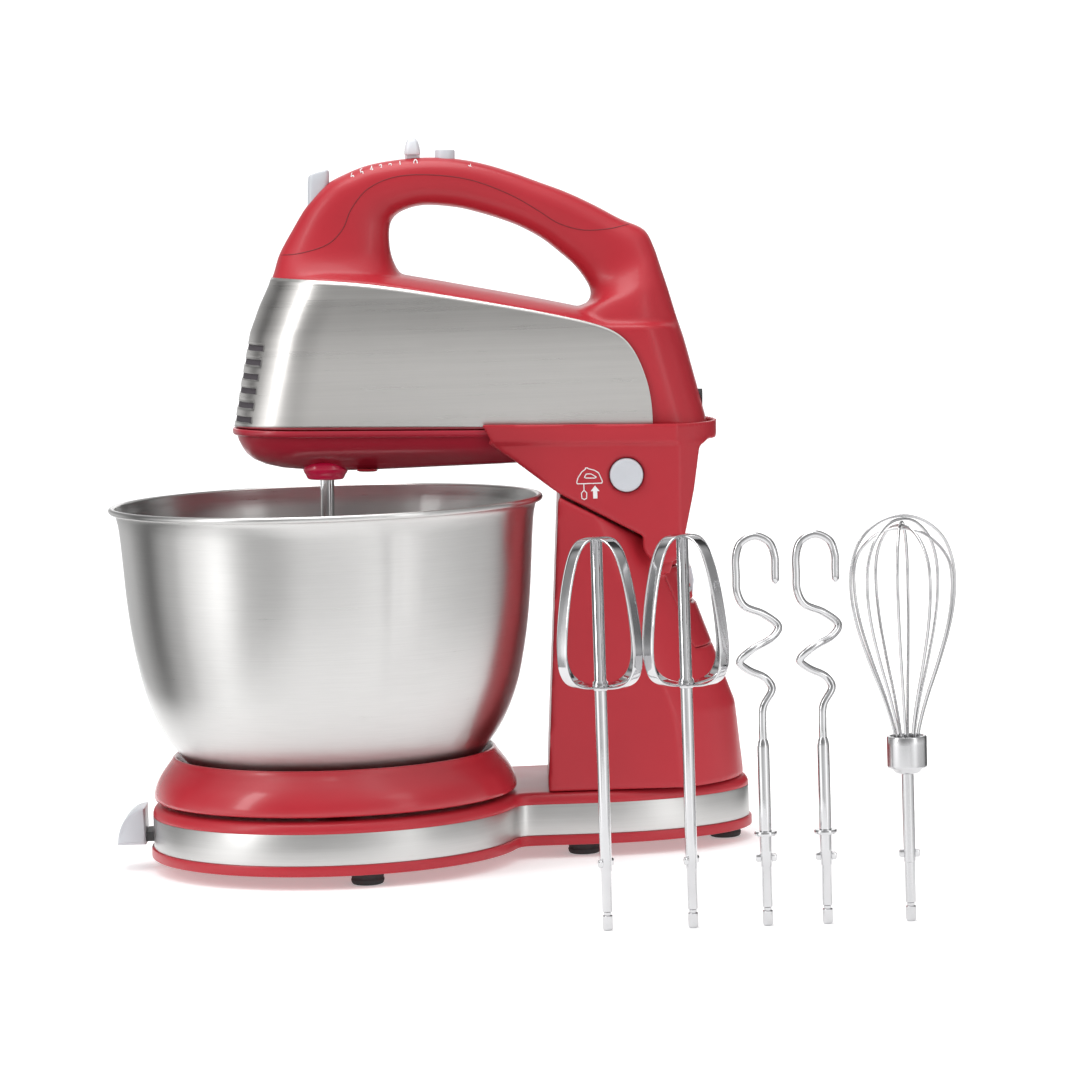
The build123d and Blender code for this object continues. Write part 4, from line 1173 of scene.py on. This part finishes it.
    def make_column(self) -> None:
        """Rounds off the column, the cradle, the back panel and the tilt lever."""
        shaded_copy("column_moulding", ("column_shell",), "stand", self.finishes.red, 1.5 * MM, 3)
        shaded_copy("cradle_moulding", ("cradle_shell",), "cradle", self.finishes.red, 1.1 * MM, 3)
        shaded_copy("back_panel_moulding", ("column_back_panel",), "stand", self.finishes.panel, 0.9 * MM, 2)
        shaded_copy("tilt_lever_moulding", ("tilt_lever",), "tilt_latch", self.finishes.grey, 0.5 * MM, 4)

    def make_release(self) -> None:
        """Makes the round release button and the lift-off mark beside it."""
        box_low, box_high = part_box("release_button")
        middle = (np.array(box_low) + np.array(box_high)) / 2
        near = box_low[1]
        profile = np.array([
            (0.02, 0.9), (4.0, 0.6), (6.6, 0.15), (7.6, 0.0), (8.2, 0.25), (8.55, 0.9), (8.6, 1.6),
            (8.6, 6.4), (0.02, 6.4),
        ])
        angle = np.linspace(0, 2 * np.pi, 72, endpoint=False)
        x = middle[0] + profile[:, :1] * MM * np.cos(angle)
        z = middle[2] + profile[:, :1] * MM * np.sin(angle)
        y = near + np.repeat(profile[:, 1:], 72, axis=1) * MM
        piece = Piece("release_cap").grid(np.stack([x, y, z], -1), close_cols=True, caps=True)
        piece.build("release", self.finishes.grey, ("release_button",), 35.0)
        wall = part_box("cradle_shell")[0][1] + 1.5 * MM
        lines = {
            "mixer": [
                (-6.6, 1.0), (-6.0, 3.2), (-3.9, 6.3), (-2.0, 7.6), (-1.9, 8.3), (-0.8, 8.3), (-0.6, 7.9),
                (2.6, 7.0), (4.8, 5.6), (6.6, 1.2), (6.3, 0.2), (-6.4, 0.2), (-6.6, 1.0),
            ],
            "grip": [(-2.6, 3.4), (-1.6, 5.2), (1.0, 5.1), (3.6, 3.4), (2.6, 2.9), (-2.0, 3.1), (-2.6, 3.4)],
            "beater": [(-3.0, 0.0), (-3.0, -3.2), (-4.4, -4.6), (-4.2, -7.4), (-3.0, -8.0), (-1.8, -7.4),
                       (-1.6, -4.6), (-3.0, -3.2)],
        }
        mark = Piece("lift_off_mark")
        spot = middle + np.array([-19.1, 0.0, -4.0]) * MM
        for points in lines.values():
            flat = np.array(points) * MM
            path = np.stack([spot[0] + flat[:, 0], np.full(len(flat), wall), spot[2] + flat[:, 1]], -1)
            steps = np.linspace(0, len(path) - 1, 8 * len(path))
            even = np.stack([np.interp(steps, np.arange(len(path)), path[:, a]) for a in range(3)], -1)
            mark.grid(tube(even, 0.28 * MM, np.array([0.0, 1.0, 0.0]), 8), close_cols=True, caps=True)
        arrow = np.array([(1.6, -7.6), (1.6, -3.8), (0.4, -3.8), (2.7, -0.9), (5.0, -3.8), (3.8, -3.8),
                          (3.8, -7.6)]) * MM
        layers = [np.stack([spot[0] + arrow[:, 0], np.full(len(arrow), y), spot[2] + arrow[:, 1]], -1)
                  for y in (wall - 0.25 * MM, wall + 0.1 * MM)]
        mark.grid(np.array(layers), close_cols=True, caps=True)
        mark.build("cradle", self.finishes.white, (), 50.0, 1e-6)

    def make_feet(self) -> None:
        """Makes the rubber feet: short turned pads with a groove and a soft edge."""
        profile = np.array([
            (0.05, 0.0), (6.6, 0.0), (7.6, 0.35), (8.2, 1.2), (8.5, 2.6), (8.1, 3.4), (8.1, 4.2),
            (8.5, 4.8), (8.5, 6.7), (0.05, 6.7),
        ])
        piece = Piece("rubber_feet_pads")
        for x, y in ((18, -78), (18, 78), (128, 2), (128, 86), (203, 44)):
            piece.turned(profile, (x, y), 40)
        piece.build("stand", self.finishes.rubber, ("rubber_feet",), 35.0)


# ---------------------------------------------------------------- tools


@dataclass
class Tools:
    """The beaters, hooks and whisk, standing on their tails, in millimetres."""

    finishes: Finishes
    length: float = 185.0
    shaft: float = 2.5
    upper: float = 2.8
    loop_height: float = 71.0
    loop_radius: float = 25.0

    def tail(self) -> np.ndarray:
        """The shaft's profile from its tip, over the neck groove, to its thicker part."""
        r = self.shaft
        rows = [
            (0.05, 0.0), (r - 0.7, 0.05), (r - 0.1, 0.8), (r, 1.5), (r, 6.9), (r - 0.6, 7.4),
            (r - 0.6, 8.6), (r, 9.1), (r, 27.9), (self.upper, 28.2), (self.upper, 35.2),
        ]
        return np.array(rows)

    def ears(self, piece: Piece, turn: float, at: object) -> None:
        """Adds the two driving ears pressed out of the shaft."""
        path = np.array([(-5.0, 0, 32.0), (-4.4, 0, 32.0), (4.4, 0, 32.0), (5.0, 0, 32.0)])
        grid = strip(path, np.array([1.1, 1.9, 1.9, 1.1]), np.array([0.5, 0.9, 0.9, 0.5]),
                     np.array([0.0, 1.0, 0.0]), 16, 3.0)
        piece.grid(at(spin(grid, turn)), close_cols=True, caps=True)

    def beater(self, name: str, body: str, node: str, turn: float, at: object) -> None:
        """Makes a beater: two crossed loops of strip on a shaft.

        Args:
            name: The piece's name.
            body: The body it moves with.
            node: The frame's node that it stands for.
            turn: How far it is turned about its shaft, in degrees.
            at: A function that puts its points in the frame.
        """
        low = self.length - self.loop_height
        piece = Piece(name)
        profile = np.vstack([self.tail(), [(self.upper, low - 1.0), (3.5, low - 0.6), (3.7, low + 0.4),
                            (3.5, low + 3.2), (self.upper, low + 3.8), (self.upper, self.length - 1.0),
                            (self.upper - 0.5, self.length - 0.5), (0.05, self.length - 0.4)]])
        piece.grid(at(ring(profile, (0, 0), 28)), close_cols=True)
        self.ears(piece, turn, at)
        r = self.loop_radius
        half = [(3.0, 0.7), (0.55 * r, 1.9), (0.80 * r, 4.6), (0.93 * r, 9.0), (0.985 * r, 15.5),
                (0.975 * r, 24.0), (0.91 * r, 36.0), (0.82 * r, 47.0), (0.70 * r, 57.0),
                (0.56 * r, 64.5), (0.40 * r, 68.6), (0.22 * r, 70.2), (0.0, 70.4)]
        outline = [(x, low + z) for x, z in half] + [(-x, low + z) for x, z in half[-2::-1]]
        line = spline(np.array(outline), 130)
        for quarter in (0.0, 90.0):
            path = np.stack([line[:, 0], np.zeros(len(line)), line[:, 1]], -1)
            thick = np.full(len(path), 0.55)
            grid = strip(path, thick, np.full(len(path), 3.0), np.array([0.0, 1.0, 0.0]), 20, 6.0)
            grid[..., 2] -= 0.4 if quarter else 0.0
            piece.grid(at(spin(grid, turn + quarter)), close_cols=True, caps=True)
        piece.build(body, self.finishes.chrome, (node,), 50.0, 1e-6)

    def hook(self, name: str, body: str, node: str, at: object) -> None:
        """Makes a dough hook: a shaft with a disc, and a wire wound to and fro."""
        piece = Piece(name)
        wide = self.upper
        disc = [(wide, 42.6), (5.0, 42.6), (5.3, 43.0), (5.3, 44.2), (5.0, 44.6), (wide, 44.6)]
        neck = [(wide, 84.0), (2.4, 86.5), (1.8, 88.0), (0.05, 88.0)]
        piece.grid(at(ring(np.vstack([self.tail(), disc, neck]), (0, 0), 28)), close_cols=True)
        self.ears(piece, 0.0, at)
        route = np.array([
            (0, 0, 84), (0, 0, 96), (0.6, 0.5, 103), (5.0, 3.0, 111), (2.0, 4.2, 116), (-6.0, 0.5, 120.5),
            (-10.0, -3.5, 125), (-4.0, -4.0, 130.5), (5.5, 1.5, 135), (8.8, 4.6, 140), (2.0, 4.0, 146),
            (-7.0, 0.6, 150.5), (-10.2, 0.0, 157), (-10.4, 0.0, 165), (-10.3, 0.0, 173.5),
            (-8.0, 0.0, 179.8), (-1.4, 0.0, 183.0), (5.2, 0.0, 180.0), (7.7, 0.0, 173.5), (7.8, 0.0, 167.0),
            (7.8, 0.0, 160.5),
        ])
        path = spline(route, 200)
        width = np.full(len(path), 1.8)
        width[-3:] = (1.7, 1.3, 0.6)
        piece.grid(at(tube(path, width, np.array([0.15, 1.0, 0.1]), 16)), close_cols=True, caps=True)
        piece.build(body, self.finishes.chrome, (node,), 50.0, 1e-6)

    def whisk(self, at: object) -> None:
        """Makes the balloon whisk: its shaft, its collar and its wires."""
        piece = Piece("whisk_shaft")
        wide = self.upper
        cap = spline(np.array([
            (wide, 69.6), (5.4, 69.9), (6.6, 71.0), (7.2, 72.2),
        ]), 8)
        body = [(7.4, 72.3), (8.9, 72.4), (9.3, 72.9), (9.35, 73.6), (9.35, 83.4), (9.35, 86.7),
                (9.1, 87.2), (8.6, 87.4), (7.8, 87.4), (7.6, 87.0), (7.6, 79.0), (0.05, 79.0)]
        piece.grid(at(ring(np.vstack([self.tail(), cap, body]), (0, 0), 48)), close_cols=True)
        self.ears(piece, 0.0, at)
        piece.build("tool_whisk", self.finishes.cap, ("whisk_collar",), 40.0, 1e-6)
        wires = Piece("whisk_wire_bows")
        for index in range(5):
            top = 190.3 - 1.5 * index
            half = [(5.0, 79.0), (5.6, 88.0), (10.0, 104.0), (16.6, 122.0), (22.2, 140.0), (24.6, 155.0),
                    (24.0, 168.0), (19.6, 179.6 - index), (10.6, 187.6 - 1.3 * index), (0.0, top)]
            outline = half + [(-x, z) for x, z in half[-2::-1]]
            line = spline(np.array(outline), 120)
            path = np.stack([line[:, 0], np.zeros(len(line)), line[:, 1]], -1)
            grid = tube(path, 0.68, np.array([0.0, 1.0, 0.0]), 10)
            wires.grid(at(spin(grid, index * 36.0 + 8.0)), close_cols=True, caps=True)
        wires.build("tool_whisk", self.finishes.chrome, ("whisk_wires",), 60.0, 1e-6)

    def make(self) -> None:
        """Makes the mounted pair and the loose tools."""
        seat = 17.0
        for name, side, turn in (("near", -20.0, 0.0), ("far", 20.0, 45.0)):
            def hang(points: np.ndarray, side: float = side) -> np.ndarray:
                """Hangs a tool tip down from a spindle."""
                return PLACES.mixer(points * [1.0, -1.0, -1.0] + [0.0, side, seat])

            self.beater(f"{name}_beater_wire", f"{name}_whip", f"{name}_beater", turn, hang)
        for label in ("left", "right"):
            node = f"loose_beater_{label}"
            self.beater(f"spare_beater_{label}", f"tool_beater_{label}", node, 45.0, stood(node))
            node = f"dough_hook_{label}"
            tail = stood(node, "hook")
            self.hook(f"kneading_hook_{label}", f"tool_hook_{label}", node, tail)
        self.whisk(stood("whisk_collar"))


def spin(points: np.ndarray, degrees: float) -> np.ndarray:
    """Turns points about the Z axis."""
    turn = np.radians(degrees)
    c, s = np.cos(turn), np.sin(turn)
    return points @ np.array([[c, s, 0.0], [-s, c, 0.0], [0.0, 0.0, 1.0]])


def stood(node: str, kind: str = "round") -> object:
    """Gives a function that stands a tool's points where a node stands.

    Args:
        node: The frame's node.
        kind: "round" where the node's box is centred on its shaft, and "hook" where
            its wire reaches further one way.

    Returns:
        The function.
    """
    low, high = (np.array(corner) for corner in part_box(node))
    foot = np.array([(low[0] + high[0]) / 2, (low[1] + high[1]) / 2, 0.0])
    if kind == "hook":
        foot[:2] = (low[0] + 12.6 * MM, low[1] + 4.9 * MM)
    return lambda points: points * MM + foot


# ---------------------------------------------------------------- inner works and studio


def dress_inner(finishes: Finishes) -> None:
    """Gives the frame's own nodes their finishes."""
    plan = {
        finishes.steel: ("base_screws", "mixer_screws", "hinge_pin", "tilt_lever_pin", "turntable_pin",
                         "armature_shaft", "near_socket", "far_socket"),
        finishes.nylon: ("near_gear", "far_gear", "cooling_fan", "eject_yoke"),
        finishes.black: ("gear_frame", "brush_holder", "speed_switch", "shift_arm"),
        finishes.iron: ("motor_field", "armature_core"),
        finishes.copper: ("commutator",),
        finishes.bronze: ("front_bush", "rear_bush"),
        finishes.rubber: ("cord_grommet",),
    }
    for finish, nodes in plan.items():
        for node in nodes:
            mesh = frame["nodes"][node].data
            mesh.materials.clear()
            mesh.materials.append(finish)
        LOG.info("%s on %d nodes", finish.name, len(nodes))


@dataclass
class Studio:
    """The floor, the soft lights and the camera."""

    distance: float = 2375.0
    eye_x: float = 110.0
    eye_z: float = 365.0
    aim_z: float = 164.0
    lens: float = 153.7
    roll: float = -0.032
    glow: float = 2.3
    panels: Profile = field(default_factory=lambda: [
        (0.0, 0.60), (0.03, 0.80), (0.07, 1.0), (0.125, 0.42), (0.175, 0.30), (0.24, 0.38), (0.30, 0.45),
        (0.37, 0.85), (0.42, 0.50), (0.48, 0.42), (0.55, 0.36), (0.60, 0.05), (0.69, 0.01), (0.75, 0.2),
        (0.80, 0.3), (0.86, 0.35), (0.93, 0.06), (0.97, 0.4),
    ])
    levels: Profile = field(default_factory=lambda: [
        (0.0, 0.5), (0.30, 0.55), (0.40, 0.70), (0.45, 1.0), (0.50, 1.0), (0.55, 0.7), (0.62, 0.42),
        (0.72, 0.4), (0.85, 0.8), (1.0, 1.0),
    ])

    def area(self, name: str, at: tuple, aim: tuple, size: tuple, power: float) -> None:
        """Adds a rectangular light.

        Args:
            name: Its name.
            at: Its place, in metres from the bowl's axis.
            aim: Where it points.
            size: Its width and height in metres.
            power: Its power in watts.
        """
        data = bpy.data.lights.new(name, "AREA")
        data.shape = "RECTANGLE"
        data.size, data.size_y = size
        data.energy = power
        light = bpy.data.objects.new(name, data)
        bpy.context.collection.objects.link(light)
        base = Vector(PLACES.bowl)
        light.location = base + Vector(at)
        light.rotation_euler = (Vector(aim) - Vector(at)).to_track_quat("-Z", "Y").to_euler()

    def make_world(self) -> None:
        """Makes the surroundings: light and dark panels round the room, duller high up."""
        world = bpy.data.worlds.new("studio")
        bpy.context.scene.world = world
        world.use_nodes = True
        nodes = Nodes(world.node_tree)
        where = nodes.node("ShaderNodeTexCoord", {}, {}, "Generated")
        round_it = nodes.node("ShaderNodeTexGradient", {"gradient_type": "RADIAL"}, [where], 1)
        panels = nodes.ramp(round_it, self.panels)
        height = nodes.node("ShaderNodeSeparateXYZ", {}, [where], 2)
        levels = nodes.ramp(height * 0.5 + 0.5, self.levels)
        shade = world.node_tree.nodes["Background"]
        world.node_tree.links.new((panels * levels).socket, shade.inputs["Color"])
        shade.inputs["Strength"].default_value = self.glow

    def make(self) -> None:
        """Makes the studio."""
        self.make_world()
        self.area("key", (-1.5, -0.9, 1.0), (0.0, 0.0, 0.15), (0.35, 1.3), 8.0)
        self.area("fill", (1.4, -1.3, 0.8), (0.1, 0.0, 0.15), (0.5, 1.3), 3.0)
        self.area("top", (-0.1, 0.1, 1.7), (0.1, 0.0, 0.1), (1.5, 1.0), 17.0)
        self.area("back", (0.3, 1.5, 1.0), (0.1, 0.0, 0.2), (1.8, 1.0), 3.0)
        sweep = np.linspace(0, np.pi / 2, 24)
        rise = np.stack([1.6 + 0.9 * np.sin(sweep), 0.9 - 0.9 * np.cos(sweep)], -1)
        line = np.vstack([[(-0.75, 0.0)], rise, [(2.5, 1.0)]])
        half = 0.128 * (line[:, :1] + 0.001 * self.distance) + 0.04
        x = float(PLACES.bowl[0]) + 0.001 * self.eye_x + half * np.linspace(-1.0, 1.0, 4)
        points = np.stack([x, np.repeat(line[:, :1], 4, axis=1), np.repeat(line[:, 1:], 4, axis=1)], -1)
        mesh = bpy.data.meshes.new("floor")
        mesh.from_pydata(points.reshape(-1, 3).tolist(), [], grid_faces(len(line), 4, False, False).tolist())
        floor = bpy.data.objects.new("floor", mesh)
        bpy.context.collection.objects.link(floor)
        sheet = Sheet("paper_white")
        grain = sheet.noise(sheet.place(), 60.0, 2.0)
        sheet.set(Base_Color=sheet.blend(grain, (0.85, 0.85, 0.855), (0.87, 0.87, 0.87)), Roughness=0.9)
        sheet.set(Specular_IOR_Level=0.1, Emission_Color=(1.0, 1.0, 1.0), Emission_Strength=0.33)
        mesh.materials.append(sheet.material)
        mesh.shade_smooth()
        data = bpy.data.cameras.new("camera")
        data.lens = self.lens
        data.sensor_width = 36.0
        camera = bpy.data.objects.new("camera", data)
        bpy.context.collection.objects.link(camera)
        eye = Vector(PLACES.stand(np.array([self.eye_x, -self.distance, self.eye_z])))
        aim = Vector(PLACES.stand(np.array([self.eye_x, 0.0, self.aim_z])))
        look = (aim - eye).to_track_quat("-Z", "Y").to_matrix().to_4x4()
        camera.matrix_world = Matrix.Translation(eye) @ look @ Matrix.Rotation(self.roll, 4, "Z")
        bpy.context.scene.camera = camera
        bpy.context.scene.view_settings.view_transform = "Standard"
        LOG.info("studio and camera set")


def main() -> None:
    """Builds every piece in order."""
    logging.basicConfig(level=logging.INFO, format="%(message)s")
    Studio().make()
    finishes = Finishes()
    stand = Stand(finishes)
    stand.make_base()
    stand.make_turntable()
    stand.make_knob()
    stand.make_column()
    stand.make_release()
    stand.make_feet()
    mixer = Mixer(finishes)
    body = mixer.make_body()
    mixer.make_seam(body)
    mixer.make_wrap()
    mixer.make_tub()
    mixer.make_marks(body)
    Controls(finishes).make()
    Tools(finishes).make()
    dress_inner(finishes)


if __name__ == "__main__":
    main()
